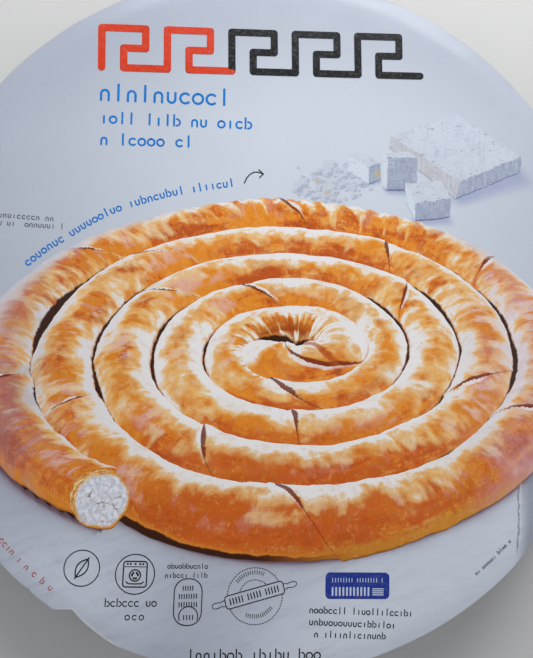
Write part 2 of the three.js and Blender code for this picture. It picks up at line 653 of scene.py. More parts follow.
def ring(centre, radius, width):
    """A circle's stroke."""
    return ribbon(arc(centre, radius, 0, 360, 65)[:-1], width, closed=True)


def patch(outline, rings=4):
    """A filled shape, as rings of its outline round its middle."""
    edge = np.asarray(outline, float)
    middle = edge.mean(0)
    count = len(edge)
    layers = [middle + (edge - middle) * (k + 1) / rings for k in range(rings)]
    faces = [[0, 1 + j, 1 + (j + 1) % count] for j in range(count)]
    for k in range(rings - 1):
        for j in range(count):
            near, far = 1 + k * count, 1 + (k + 1) * count
            after = (j + 1) % count
            faces.append([near + j, far + j, far + after, near + after])
    return np.vstack((middle[None], *layers)), faces


def rounded_box(centre, size, corner, turn=0.0, steps=6):
    """Outline of a box with round corners, anticlockwise, turned by degrees."""
    half = np.array(size) / 2 - corner
    corners = []
    for k, (sx, sy) in enumerate(((1, 1), (-1, 1), (-1, -1), (1, -1))):
        corners.append(arc((sx * half[0], sy * half[1]), corner, 90 * k, 90 * k + 90, steps))
    line = np.vstack(corners)
    filled = [line[0]]
    for point in line[1:]:
        gap = point - filled[-1]
        pieces = max(1, int(np.ceil(hypot(*gap) / (2.5 * MM))))
        filled += [filled[-1] + gap * k / pieces for k in range(1, pieces + 1)]
    return turned(np.array(filled), turn) + np.array(centre)


def turned(points, degrees):
    """Flat points turned anticlockwise about the origin."""
    c, s = cos(radians(degrees)), sin(radians(degrees))
    return np.asarray(points, float) @ np.array([[c, s], [-s, c]])


def mm(*pairs):
    """Points given in millimetres."""
    return np.array(pairs, float) * MM


# ---------------------------------------------------------------- shared finishes

def board_grain_group():
    """Shader group: the faint mottling and tooth of coated, printed board."""
    tree = bpy.data.node_groups.new("Board Grain", "ShaderNodeTree")
    tree.interface.new_socket("Colour", in_out="INPUT", socket_type="NodeSocketColor")
    amount = tree.interface.new_socket("Mottling", in_out="INPUT", socket_type="NodeSocketFloat")
    amount.default_value = 0.05
    tree.interface.new_socket("Colour", in_out="OUTPUT", socket_type="NodeSocketColor")
    tree.interface.new_socket("Roughness", in_out="OUTPUT", socket_type="NodeSocketFloat")
    tree.interface.new_socket("Height", in_out="OUTPUT", socket_type="NodeSocketFloat")
    source = tree.nodes.new("NodeGroupInput")
    where = object_place(tree)
    broad = noise(tree, where, 45.0, 3.0)
    fine = noise(tree, where, 900.0, 2.0, 0.6)
    mottled = (broad - 0.5) + (fine - 0.5) * 0.6
    gain = mottled * Field(tree, source.outputs["Mottling"]) * 2.0 + 1.0
    bright = add(tree, "ShaderNodeVectorMath", {0: source.outputs["Colour"], "Scale": gain},
                 operation="SCALE")
    end = tree.nodes.new("NodeGroupOutput")
    tree.links.new(bright.outputs[0], end.inputs["Colour"])
    plug(tree, end.inputs["Roughness"], (broad - 0.5) * 0.12 + (fine - 0.5) * 0.08 + 0.3)
    plug(tree, end.inputs["Height"], fine * 0.35 + noise(tree, where, 240.0, 2.0))
    return tree


def new_material(name):
    """A material's node tree and its shader node."""
    material = bpy.data.materials.new(name)
    material.use_nodes = True
    tree = material.node_tree
    return material, tree, tree.nodes["Principled BSDF"]


def finish_print(tree, shader, colour, mottling=0.05):
    """Board grain over a printed colour, on the material's shader."""
    group = bpy.data.node_groups.get("Board Grain") or board_grain_group()
    grain = add(tree, "ShaderNodeGroup", node_tree=group)
    plug(tree, grain.inputs["Colour"], colour)
    grain.inputs["Mottling"].default_value = mottling
    plug(tree, shader.inputs["Base Color"], grain.outputs["Colour"])
    plug(tree, shader.inputs["Roughness"], grain.outputs["Roughness"])
    bump(tree, shader, 0.12, 0.1 * MM, grain.outputs["Height"])
    shader.inputs["Specular IOR Level"].default_value = PRINT_GLOSS


def ink(name, colour):
    """A printed ink of one hue."""
    found = bpy.data.materials.get(name)
    if found:
        return found
    material, tree, shader = new_material(name)
    where = object_place(tree)
    worn = noise(tree, where, 900.0, 3.0).step(0.45, 0.75)
    thin = tuple(0.9 * level + 0.05 for level in colour)
    finish_print(tree, shader, blend(tree, worn, colour, thin), 0.08)
    return material


def table_colour(tree, where):
    """The print's pale ground: smooth above, and a pale table with faint streaks below; darker
    towards the card's edges, partly the print's own gradient and partly painted shade where the
    light falls off.
    """
    x, y, _ = split(tree, where)
    sweep = join(tree, (x + y * 0.35) * 14.0, (y - x * 0.35) * 60.0)
    streaks = noise(tree, sweep, 4.0, 5.0, 0.65)
    specks = noise(tree, where, 420.0, 3.0, 0.7).step(0.62, 0.72)
    low = y.step(-0.02, -0.09)
    drawn = bpy.context.scene.pie_pack_print
    # Darker away from the lightest place: partly the print's own gradient, partly painted shade
    # where the light falls off
    out = (((x - 0.02) / 0.17) ** 2.0 + ((y - 0.03) / 0.2) ** 2.0).sqrt()
    out = out - (x - y).step(0.09, 0.2) * 0.9 + y.step(0.07, 0.14) * 0.3
    out = out - x.step(-0.03, -0.08) * y.step(-0.07, -0.11) * 0.5
    plain = blend(tree, out.step(0.15, 1.05), drawn.ground, drawn.ground_edge_shade)
    low = low * (x.step(0.08, -0.04) * 0.6 + 0.4)
    shaded = blend(tree, streaks.step(0.42, 0.75) * low * 0.45, plain, STREAK_GREY)
    return blend(tree, specks * low * streaks.step(0.4, 0.6) * 0.35, shaded, SPECK_MAUVE)


def printed_card_material():
    """The card's face: printed ground with a painted fall-off of light, drawn shadows, painted
    shade on the bent side, worn crease with painted shade and a painted highlight along it, and
    torn edge.
    """
    material, tree, shader = new_material("coated_card")
    where = object_place(tree)
    paint = Paint(tree, table_colour(tree, where))
    soft = noise(tree, where, 130.0, 3.0) * 0.5 + 0.75
    pie_shade = value_of(tree, "pie_shade")
    paint.coat((pie_shade * soft).step(0.0, 0.6) * 0.7, PIE_HAZE)
    paint.coat(pie_shade.step(0.35, 0.8) * 0.7, PIE_SHADOW)
    paint.coat(pie_shade.step(0.85, 0.98), PIE_CONTACT)
    paint.coat(value_of(tree, "cheese_shade") * soft, CHEESE_SHADOW)
    rub, beyond = value_of(tree, "rub"), value_of(tree, "beyond")
    crease_noise = noise(tree, where, 520.0, 4.0, 0.7)
    # Painted shade on the bent side, beyond the crease
    paint.coat(beyond.step(-0.0015, 0.006) * value_of(tree, "bent") * 0.6, BENT_SIDE_SHADE)
    scuffs = (rub + (crease_noise - 0.5) * 2.4).step(0.75, 1.15)
    paint.coat(scuffs * 0.35, WORN_WHITE_AND_HIGHLIGHT)
    # Along the crease: a thin dark line, its crack with painted shade in its fold, and beside it a
    # pale line, cracked coating with a painted highlight on the fold's edge
    line = beyond + (crease_noise - 0.5) * 0.0025
    crease_line = abs(line).step(0.0006, 0.0001) * rub.step(0.3, 0.6)
    paint.coat(crease_line * 0.6, CREASE_SHADE_GREY)
    crease_line = abs(line - 0.0009).step(0.0005, 0.0001) * rub.step(0.3, 0.6)
    paint.coat(crease_line * 0.55, WORN_WHITE_AND_HIGHLIGHT)
    torn = value_of(tree, "torn")
    fibres = noise(tree, where, 700.0, 4.0, 0.7)
    torn = (torn + (fibres - 0.5) * 0.8).step(0.34, 0.5)
    paint.coat(torn, TORN_WHITE)
    finish_print(tree, shader, paint.colour, 0.03)
    return material


def board_edge_material():
    """The cut edge of the board: pale pressed fibres in layers."""
    material, tree, shader = new_material("board_cut_edge")
    where = object_place(tree)
    x, y, z = split(tree, where)
    layers = noise(tree, join(tree, x * 80.0, y * 80.0, z * 4000.0), 1.0, 3.0)
    colour = blend(tree, layers, EDGE_PALE, EDGE_DARK)
    plug(tree, shader.inputs["Base Color"], colour)
    shader.inputs["Roughness"].default_value = 0.85
    bump(tree, shader, 0.3, 0.1 * MM, layers)
    return material


def board_back_material():
    """The uncoated underside: greyish board with fibres."""
    material, tree, shader = new_material("board_underside")
    where = object_place(tree)
    fibres = noise(tree, where, 600.0, 4.0, 0.65, 1.5)
    clouds = noise(tree, where, 35.0, 3.0)
    colour = blend(tree, fibres.step(0.35, 0.7), BACK_PALE, BACK_DARK)
    colour = blend(tree, clouds * 0.3, colour, BACK_CLOUD)
    plug(tree, shader.inputs["Base Color"], colour)
    shader.inputs["Roughness"].default_value = 0.9
    bump(tree, shader, 0.25, 0.2 * MM, fibres)
    return material


def foil_material():
    """Thin pressed aluminium with fine crinkles and rolling lines."""
    material, tree, shader = new_material("pressed_foil")
    where = object_place(tree)
    crinkle = noise(tree, where, 260.0, 4.0, 0.6, 0.8)
    dull = noise(tree, where, 60.0, 3.0)
    x, y, z = split(tree, where)
    rolled = noise(tree, join(tree, x * 3000.0, y * 60.0, z * 60.0), 1.0, 2.0)
    plug(tree, shader.inputs["Base Color"],
         blend(tree, dull, FOIL_BRIGHT, FOIL_DULL))
    plug(tree, shader.inputs["Roughness"], dull * 0.2 + rolled * 0.06 + 0.2)
    shader.inputs["Metallic"].default_value = 1.0
    bump(tree, shader, 0.35, 0.6 * MM, crinkle + rolled * 0.1)
    return material


def towards(tree, normal, direction):
    """How far a normal faces a direction, 0 to 1 where it does."""
    unit = tuple(Vector(direction).normalized())
    made = add(tree, "ShaderNodeVectorMath", {0: normal, 1: unit}, operation="DOT_PRODUCT")
    return Field(tree, made.outputs["Value"])


def pastry_material():
    """The pictured pastry: cream towards the windows, golden and browned elsewhere."""
    material, tree, shader = new_material("print_pastry")
    inks = bpy.context.scene.pie_pack_print
    along, side, phase = split(tree, vector_of(tree, "form_place"))
    normal = vector_of(tree, "form_normal")

    # Patterns on the unrolled pastry, broad and fine, which all lie round 0
    flat = join(tree, along, side * ROLL_GIRTH)
    broad = noise(tree, flat, 20.0, 3.0, 0.55) - 0.5
    patches = noise(tree, flat, 85.0, 4.0, 0.55, 0.5) - 0.5
    lace = noise(tree, flat, 260.0, 4.0, 0.65, 0.6) - 0.5
    lines = noise(tree, join(tree, along * 210.0, side * 1.6), 1.0, 4.0, 0.6, 0.5) - 0.5
    wrinkles = noise(tree, join(tree, along * 520.0, side * 1.1), 1.0, 2.0) - 0.5
    fine = noise(tree, flat, 950.0, 3.0, 0.7, 0.3) - 0.5
    stripes = noise(tree, join(tree, along * 30.0, side * 3.4, 7.0), 1.0, 4.0, 0.6, 0.6) - 0.5

    # Where the point lies: on the roll, on the card, and how far out to the side
    inner = along.step(1.9, 1.96) * side.step(0.05, -0.3)
    facing_right, facing_back, facing_up = split(tree, normal)
    x, y, _ = split(tree, object_place(tree))
    across, deep = x - PICTURE_CENTRE[0], (y + 0.016) * 1.7
    sideways = abs(across) / (across ** 2.0 + deep ** 2.0 + 1e-5).sqrt()
    outer = abs(across).step(0.04, 0.09)
    front = y.step(-0.035, -0.08)

    # Golden ground with browned patches, darkest low on the front
    mottle = broad + patches * 0.5 + lace * 0.4
    paint = Paint(tree, inks.golden)
    paint.coat(mottle.step(-0.06, 0.2), inks.butter)
    reddened = abs(x).step(0.09, 0.03) * front
    low = facing_up.step(0.4, -0.3) * (reddened + front.minus_from(1.0) * 0.6 + 0.1)
    paint.coat(low * 0.85, inks.toasted)
    burn = noise(tree, join(tree, along, side * ROLL_GIRTH, 3.0), 42.0, 3.0, 0.5, 0.4) - 0.5
    burn = burn * 0.6 + broad * 0.6 + stripes * 0.8 + lines * 0.25 + lace * 0.3 + fine * 0.2
    burn = burn - facing_back * 0.1 + x.step(-0.03, -0.08) * 0.04
    hot = facing_up.step(0.1, 0.6)
    paint.coat(reddened * 0.8, CRUST_RED)
    paint.coat(outer * 0.4, CRUST_TAN)
    underside = front * x.step(-0.02, 0.04) * facing_up.step(0.66, 0.3)
    paint.coat(underside * 0.8, UNDERSIDE_GOLD)
    streak = sideways.step(1.0, 0.6) * front * facing_up.step(0.25, 0.6) * facing_up.step(0.98, 0.8)
    paint.coat(streak * (stripes + lace).step(-0.2, 0.1) * 0.7, STREAK_RED)
    paint.coat(burn.step(0.0, 0.12) * hot * 0.75, PATCH_ORANGE)
    paint.coat(burn.step(0.08, 0.22) * hot * 0.8, inks.browned)
    paint.coat((fine + lace).step(0.02, 0.3) * 0.35, FLECK_BROWN)
    paint.coat((fine + lace).step(-0.04, -0.3) * 0.28, FLECK_PALE)
    paint.coat(inner * side.step(-0.2, -0.7) * 0.85, INNER_BROWN)
    paint.coat(inner * side.step(-0.6, -0.85) * 0.9, HOLE_BROWN)

    # Glare on the crest, and cream where the roll faces the windows
    glare = (patches * 0.7 - broad + lines * 0.6).step(0.02, 0.14) * facing_up.step(0.72, 0.97)
    paint.coat(glare * (sideways * 0.5 + 0.2), GLARE_PINK)
    sky = facing_back + sideways * (abs(facing_right) * 0.9 - 0.46)
    wound = (along * (2 * pi / TWIST_PITCH) + side * 4.5 + patches * 9.0 + broad * 8.0).sin()
    wrung = along.step(0.26, 0.3) * along.step(0.45, 0.4)  # the wrung stretch at the back
    wound = wound * wrung
    sky = sky + patches * 1.3 + lace * 0.5 + lines * 0.35 + broad * 0.5
    sky = sky + wrinkles * inner * 2.4 + wound * 0.35 + fine * 0.3 + 0.06
    sky = sky - along.step(0.2, 0.05) * 0.3 + along.step(1.2, 1.7) * 0.08 - wrung * 0.25
    sky = sky - y.step(-0.05, -0.085) * 0.16 - abs(across).step(0.06, 0.1) * 0.08 + stripes * 0.4
    crest = sky.step(-0.95, -0.6) * sky.step(-0.3, -0.5)
    crest = crest * (broad + patches + lines).step(-0.12, 0.12)
    paint.coat(crest * 0.6, CREST_RUST)
    paint.coat(sky.step(-0.46, -0.2) * 0.55, inks.butter)
    paint.coat(sky.step(-0.26, -0.02) * 0.75, CREAM_WARM)
    cream = blend(tree, outer, inks.cream, CREAM_COOL)
    paint.coat(sky.step(-0.1, 0.1) * 0.95, cream)
    veins = (lines + patches + lace * 0.5).step(0.05, 0.3) * sky.step(-0.1, 0.2)
    paint.coat(veins * 0.5, VEIN_BUFF)

    # The sides of the picture are washed out by glare
    cloudy = (patches + broad + lines * 0.5) * 2.5 + 0.6
    washed = (x.step(0.075, 0.115) * cloudy).op("MINIMUM", 1.0).at_least(0.0)
    paint.coat(washed * 0.55, WASH_PINK)
    washed = (x.step(-0.082, -0.112) * (cloudy + 0.3)).op("MINIMUM", 1.0).at_least(0.0)
    paint.coat(washed * 0.4, WASH_GREY)

    # Seams of the dough, and the dark gaps between one turn and the next
    edge = phase.fract()
    middle = (noise(tree, join(tree, along * 9.0, 0.0), 1.0, 1.0) - 0.5) * 1.6
    taper = abs(side - middle + lace * 0.5).step(0.45, 0.0)
    paint.coat((edge + taper * 0.018).step(0.994, 1.001) * 0.9, SEAM_BROWN)
    last = abs(along - FLAP_EDGE).step(0.0008, 0.0003) * side.step(-0.7, -0.5) * side.step(0.9, 0.7)
    paint.coat(last * 0.7, FLAP_BROWN)
    paint.coat((edge - taper * 0.02).step(0.004, -0.004) * taper * 0.8, inks.cream)
    touching = side.step(0.0, -0.1).at_least(along.step(0.69, 0.73))
    deepness = abs(side) + lace * 0.12 + broad * 0.12 - sideways.minus_from(1.0) * 0.2
    paint.coat(deepness.step(0.54, 0.62) * touching * 0.8, TOUCH_GOLD)
    gap = (deepness + broad * 0.25 + outer * 0.03).step(0.59, 0.64) * touching
    gap = gap.at_least(abs(side).step(0.9, 1.0) * 0.6)
    paint.coat(gap * 0.97, GAP_BROWN)

    # The back of the outermost turn is out of focus and fades into the ground
    seen = towards(tree, normal, (0, -cos(VIEW_ELEVATION), sin(VIEW_ELEVATION)))
    blurred = along.step(0.08, 0.14) * along.step(0.5, 0.44) * side.step(-0.1, 0.2)
    blurred = blurred * (wrung * 0.6).minus_from(1.0)
    haze = (seen + lace * 0.5 + patches * 0.4 - sideways * 0.45).step(0.55, 0.05)
    paint.coat(haze * blurred * 0.8, BLUR_PALE)
    haze = (seen + lace * 0.3 - sideways * 0.25).step(0.28, 0.0)
    paint.coat(haze * blurred, BLUR_GROUND)

    finish_print(tree, shader, paint.colour, 0.04)
    return material


def filling_material():
    """The pictured cut: white crumbly filling in a golden ring of flakes."""
    material, tree, shader = new_material("print_filling")
    across, up, rim = split(tree, vector_of(tree, "form_place"))
    where = join(tree, across, up)
    cells = add(tree, "ShaderNodeTexVoronoi", {"Vector": where, "Scale": 300.0, "Randomness": 1.0},
                feature="DISTANCE_TO_EDGE")
    grains = Field(tree, cells.outputs[0])
    cloud = noise(tree, where, 520.0, 3.0) - 0.5
    broad = noise(tree, where, 210.0, 2.0)
    paint = Paint(tree, CURD_GREY)
    paint.coat((cloud + grains * 0.5).step(-0.1, 0.3), CURD_WHITE)
    lines = (grains + cloud * 0.4).step(0.1, 0.0)
    paint.coat(lines * 0.3, CURD_LINE)
    pits = (grains + cloud * 0.5).step(0.13, 0.03) * (broad + cloud * 0.4).step(0.56, 0.62)
    paint.coat(pits * 0.9, CURD_PIT)
    flakes = noise(tree, join(tree, across * 420.0, up * 420.0, rim * 30.0), 1.0, 4.0, 0.7, 1.0)
    upper_left = (up - across).step(-0.004, 0.014)
    low = (across * 0.5 - up).step(0.002, 0.01)
    crust = (rim + upper_left * 0.2 + low * 0.06 + (flakes - 0.5) * 0.5).step(0.93, 0.99)
    gold = Paint(tree, RING_BROWN)
    gold.coat(flakes.step(0.38, 0.5), RING_GOLD)
    gold.coat(flakes.step(0.5, 0.58) * upper_left, RING_PALE)
    gold.coat(rim.step(0.95, 1.0) * low * 0.7, INNER_BROWN)
    paint.coat(crust, gold.colour)
    finish_print(tree, shader, paint.colour, 0.04)
    return material


def cheese_material():
    """The pictured cheese: white, bluish grey on its right sides, with small holes."""
    material, tree, shader = new_material("print_cheese")
    where = vector_of(tree, "form_place")
    left, right, _ = split(tree, vector_of(tree, "form_normal"))
    x, y, share = split(tree, where)
    grain = noise(tree, where, 900.0, 4.0, 0.7) - 0.5
    clouds = noise(tree, where, 210.0, 3.0, 0.6) - 0.5
    streaks = noise(tree, join(tree, x * 900.0, y * 160.0), 1.0, 3.0, 0.6) - 0.5
    rough = grain + clouds * 0.7
    paint = Paint(tree, CHEESE_WHITE)
    paint.coat(rough.step(-0.08, 0.3) * 0.7, CHEESE_DULL)
    crumbly = rough * 1.3 + streaks * 0.5
    shaded = blend(tree, crumbly.step(-0.22, 0.22), RIGHT_PALE, RIGHT_DARK)
    paint.coat((right + rough * right.step(0.0, 0.3)).step(0.2, 0.6), shaded)
    beige = blend(tree, crumbly.step(-0.2, 0.2), LEFT_PALE, LEFT_DARK)
    beige = blend(tree, value_of(tree, "tone"), LEFT_WHITE, beige)
    paint.coat((left + rough * left.step(0.0, 0.3) * 0.7).step(0.25, 0.55), beige)
    holes = noise(tree, join(tree, x * 0.6, y * 1.2, share * 0.01), 620.0, 1.0, 0.5)
    paint.coat(holes.step(0.66, 0.74) * 0.6, CHEESE_HOLE)
    ochre = (value_of(tree, "ochre") + grain * 2.0 + clouds * 1.6).step(0.5, 0.9)
    paint.coat(ochre * 0.75, CHEESE_OCHRE)
    contact = (share + grain * 0.12).step(0.1, 0.01) * (left * 0.4 + right)
    paint.coat(contact * 0.85, CHEESE_FOOT)
    finish_print(tree, shader, paint.colour, 0.04)
    return material


# ---------------------------------------------------------------- card and tray

def card_rows():
    """Radius and depth under the upper face, and material, of each row of the card."""
    top = [(r, 0, 0) for r in np.arange(2 * MM, 138 * MM, 1.7 * MM)]
    top += [(r, 0, 0) for r in np.linspace(138 * MM, CARD_RADIUS - 0.35 * MM, 16)]
    full, thick = CARD_RADIUS, CARD_THICKNESS
    edge = [(full - 0.1 * MM, 0.05 * MM, 1), (full, 0.2 * MM, 1), (full, thick - 0.2 * MM, 1),
            (full - 0.1 * MM, thick - 0.05 * MM, 1)]
    under = (149.6, 147, 144, 141, 138, 133, 126, 116, 100, 75, 50, 25, 5)
    return top + edge + [(r * MM, thick, 2) for r in under]


def ring_faces(rows, count):
    """Quads between rows of points that go round and round."""
    i = np.arange(rows - 1)[:, None] * count
    j = np.arange(count)[None]
    after = (j + 1) % count
    return np.stack((i + j, i + count + j, i + count + after, i + after), -1).reshape(-1, 4)


def roll_outer_radius(azimuth):
    """Outer radius of the pictured pie at an azimuth, in radians."""
    roll = bpy.context.scene.pie_pack_roll
    turn = ((roll.start_angle - azimuth) / (2 * pi)) % 1
    centre = roll.start_radius - roll.pitch * turn + roll.narrowing * turn ** 2 / 2
    centre = centre - roll.tuck * np.clip(1 - turn / TUCK_REACH, 0, 1) ** 2
    centre = centre + FRONT_SWELL * smoothstep(turn, *SWELL_IN) * smoothstep(turn, *SWELL_OUT)
    half = (roll.pitch - roll.narrowing * turn) / 2 * (1 - 0.2 * np.exp(-(turn / CUT_REACH) ** 2))
    return centre + half


# Corners of the drawn blocks on the card in mm: the low left, front and right ones,
# then the high right, rear, left and front ones. The first block is the big one.
CHEESE_BLOCKS = (
    ((51.7, 72.1), (81.3, 49.3), (111.4, 62.4), (111.7, 69.2), (83.5, 88.1), (53.0, 77.6),
     (83.4, 57.2)),
    ((48.6, 53.6), (50.3, 52.5), (63.9, 53.1), (64.4, 67.8), (60.9, 70.6), (49.1, 69.4),
     (51.0, 67.3)),
    ((33.4, 60.7), (42.3, 55.3), (47.8, 56.9), (48.0, 64.6), (40.8, 70.0), (33.5, 68.0),
     (42.4, 63.1)),
    ((59.1, 47.8), (62.7, 39.2), (78.4, 41.1), (79.7, 49.7), (74.6, 57.7), (58.9, 56.2),
     (62.9, 46.9)),
)
BLOCK_BEVEL = 1.1 * MM
CRUMBS_PLACE = mm((20, 177, 1))[0]  # on the pictured table
OCHRE_SPOTS = ((46.8, 60.0, 2.3), (20.1, 56.2, 1.3), (24.1, 51.2, 1.6))  # x, y, size in mm


def block_shade(x, y, block):
    """Strength of the shadow below a drawn block's right side."""
    front, right = mm(*block)[1:3]
    run = right - front
    size = np.hypot(*run)
    share = ((x - front[0]) * run[0] + (y - front[1]) * run[1]) / size ** 2
    below = ((x - front[0]) * run[1] - (y - front[1]) * run[0]) / size
    share = share - below * 0.35 / size
    reach = (0.28 * size) * (0.6 + 0.6 * np.clip(share, 0, 1))
    ends = smoothstep(share, -0.12, 0.08) * smoothstep(share, 1.12, 0.92)
    return ends * smoothstep(below, reach, 0.2 * reach) * (below > -2 * MM)


def picture_shades(x, y):
    """Strength of the pie's and the cheese's soft shadows at points of the card."""
    table_x, table_y = table_place(x, y)
    azimuth = np.arctan2(table_y, table_x)
    overhang = 7.4 * MM * np.maximum(-np.sin(azimuth), 0)
    past = np.hypot(table_x, table_y) - roll_outer_radius(azimuth) + overhang
    front = smoothstep(table_y, 45 * MM, -40 * MM)
    near = np.exp(-np.maximum(past, 0) / (1.5 * MM)) * front
    wide = np.exp(-np.maximum(past, 0) / (7 * MM)) * front
    pie = np.maximum(0.72 * near + 0.25 * wide, smoothstep(past, -9 * MM, -16 * MM))
    cheese = np.zeros_like(x)
    for block in CHEESE_BLOCKS:
        cheese = np.maximum(cheese, 0.5 * block_shade(x, y, block))
    return pie, cheese


class PIE_PACK_OT_card(bpy.types.Operator):
    """Make the printed card cover, with its ridge, crease and torn edge"""
    bl_idname = "pie_pack.card"
    bl_label = "Card Cover"

    def execute(self, context):
        settings = context.scene.pie_pack_card
        even = np.linspace(-180, 180, settings.sectors, endpoint=False)
        azimuth = np.unique(np.round(np.append(even, [cut[0] for cut in EDGE_CUTS]), 4))
        rows = card_rows()
        radius = np.array([row[0] for row in rows])[:, None]
        inner = CARD_RADIUS - TEAR_REACH
        pull = np.clip((radius - inner) / TEAR_REACH, 0, 1) * (CARD_RADIUS - edge_radius(azimuth))
        reach = radius - pull
        x = (reach * np.cos(np.radians(azimuth))).ravel()
        y = (reach * np.sin(np.radians(azimuth))).ravel()
        drop = np.repeat([row[1] for row in rows], len(azimuth))
        points = np.column_stack((x, y, card_height(x, y) - drop))
        middle = card_height(np.zeros(1), np.zeros(1))[0]
        points = np.vstack((points, [[0, 0, middle], [0, 0, middle - CARD_THICKNESS]]))
        quads = ring_faces(len(rows), len(azimuth))
        count, last = len(azimuth), (len(rows) - 1) * len(azimuth)
        fans = [[len(points) - 2, j, (j + 1) % count] for j in range(count)]
        fans += [[len(points) - 1, last + (j + 1) % count, last + j] for j in range(count)]
        piece = mesh_piece("card_sheet", points, list(quads) + fans, printed_card_material(),
                           board_edge_material(), board_back_material())
        kinds = np.repeat([max(a[2], b[2]) for a, b in zip(rows, rows[1:])], count)
        kinds = np.concatenate((kinds, np.zeros(count, int), np.full(count, 2)))
        piece.data.polygons.foreach_set("material_index", kinds.astype(np.int32))
        self.paint(piece.data, np.append(drop, [0, CARD_THICKNESS]), points)
        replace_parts(settle(piece), "card_cover")
        return {"FINISHED"}

    def paint(self, mesh, drop, points):
        """Stores the print's shadows, the worn places, and where the bent side gets painted shade,
        on the upper face.
        """
        x, y = points[:, 0], points[:, 1]
        upper = (drop == 0).astype(float)
        pie, cheese = picture_shades(x, y)
        set_values(mesh, "pie_shade", pie * upper)
        set_values(mesh, "cheese_shade", cheese * upper)
        set_values(mesh, "rub", crease_wear(x, y) * upper)
        set_values(mesh, "beyond", beyond_crease(x, y) + crease_wander(y))
        # Where the bent side gets painted shade
        set_values(mesh, "bent", smoothstep(y, -20 * MM, -60 * MM) * upper)
        azimuth = np.degrees(np.arctan2(y, x))
        inwards = edge_radius(azimuth) - np.hypot(x, y)
        torn = smoothstep(azimuth, -126.2, -125.2) * smoothstep(azimuth, -112, -116)
        set_values(mesh, "torn", torn * np.exp(-inwards / (1.1 * MM)) * upper)


def tray_profile():
    """Radius and height of the tray's outline, from the middle of its bottom to its top."""
    line = [*mm(*TRAY_BOTTOM)]
    for share in np.linspace(0, 1, 19):
        line.append((WALL_FOOT[0] + (WALL_TOP[0] - WALL_FOOT[0]) * share ** WALL_FLARE,
                     WALL_FOOT[1] + (WALL_TOP[1] - WALL_FOOT[1]) * share))
    line += [*mm(*TRAY_FLANGE)]
    roll = (PACK_HEIGHT - CARD_THICKNESS - SEAT_GAP - BEAD_LOW) / 2
    for angle in np.radians(np.linspace(-110, 150, 15)):
        line.append((BEAD_RADIUS - roll + roll * cos(angle), BEAD_LOW + roll + roll * sin(angle)))
    return line + [*mm(*TRAY_FILL)]


def tray_tree(material):
    """Geometry tree: an outline turned into a tray, with uneven pleats in its wall."""
    tree, values, outline = geometry_tree("Pleated Tray", {
        "Around": 672, "Rows": 10, "Pleats": 56, "Pleat Depth": 1.2 * MM, "Crinkle": 0.15 * MM,
        "Wall Foot": WALL_FOOT[1], "Wall Top": WALL_TOP[1], "Seed": 4.0,
    })
    grid = add(tree, "GeometryNodeMeshGrid", {
        "Size X": 1.0, "Size Y": 1.0,
        "Vertices X": values["Around"] + 1.0, "Vertices Y": values["Rows"],
    })
    share, row, _ = split(tree, add(tree, "GeometryNodeInputPosition").outputs[0])
    index = ((row + 0.5) * (values["Rows"] - 1.0)).op("ROUND")
    spot = add(tree, "GeometryNodeSampleIndex", data_type="FLOAT_VECTOR", domain="POINT")
    tree.links.new(outline, spot.inputs["Geometry"])
    plug(tree, spot.inputs["Value"], add(tree, "GeometryNodeInputPosition").outputs[0])
    plug(tree, spot.inputs["Index"], index)
    radius, _, height = split(tree, spot.outputs[0])
    azimuth = (share + 0.5) * (2 * pi)
    foot, top = values["Wall Foot"], values["Wall Top"]
    up = (height - foot) / (top - foot)
    inside = up.op("GREATER_THAN", 0.0) * up.op("LESS_THAN", 1.0) * radius.op("LESS_THAN", 0.1331)
    swell = (up * pi).sin().at_least(0.0).sqrt() * inside
    uneven = (azimuth * 5.0 + 1.0).sin() * 0.25 + (azimuth * 11.0 + 2.0).sin() * 0.15 + 1.0
    pleat = (azimuth * values["Pleats"]).cos() * uneven * swell * values["Pleat Depth"]
    round_about = join(tree, azimuth.cos() * 0.13, azimuth.sin() * 0.13, height + values["Seed"])
    crinkle = (noise(tree, round_about, 160.0, 3.0) - 0.5) * values["Crinkle"] * swell * 2.0
    arm = radius + pleat + crinkle
    moved = add(tree, "GeometryNodeSetPosition", {
        "Geometry": grid.outputs[0],
        "Position": join(tree, arm * azimuth.cos(), arm * azimuth.sin(), height),
    })
    closed = add(tree, "GeometryNodeMergeByDistance", {
        "Geometry": moved.outputs[0], "Distance": 0.01 * MM})
    close_tree(tree, closed.outputs[0], material)
    return tree


class PIE_PACK_OT_tray(bpy.types.Operator):
    """Make the pleated foil tray under the card"""
    bl_idname = "pie_pack.tray"
    bl_label = "Foil Tray"

    def execute(self, context):
        settings = context.scene.pie_pack_tray
        outline = bpy.data.meshes.new("tray_outline")
        profile = tray_profile()
        outline.from_pydata([(r, 0, z) for r, z in profile], [], [])
        piece = grow("pleated_tray", tray_tree(foil_material()), {
            "Rows": len(profile), "Pleats": settings.pleats, "Pleat Depth": settings.pleat_depth,
            "Crinkle": settings.crinkle,
        }, outline)
        points = points_of(piece.data)
        x, y, z = points.T
        points[:, 2] = z - bend_depth(x, y) * smoothstep(z, BEND_FOOT, WALL_TOP[1])
        set_points(piece.data, points)
        piece.data.shade_smooth()
        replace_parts(settle(piece), "foil_tray")
        return {"FINISHED"}


# ---------------------------------------------------------------- the pictured pie

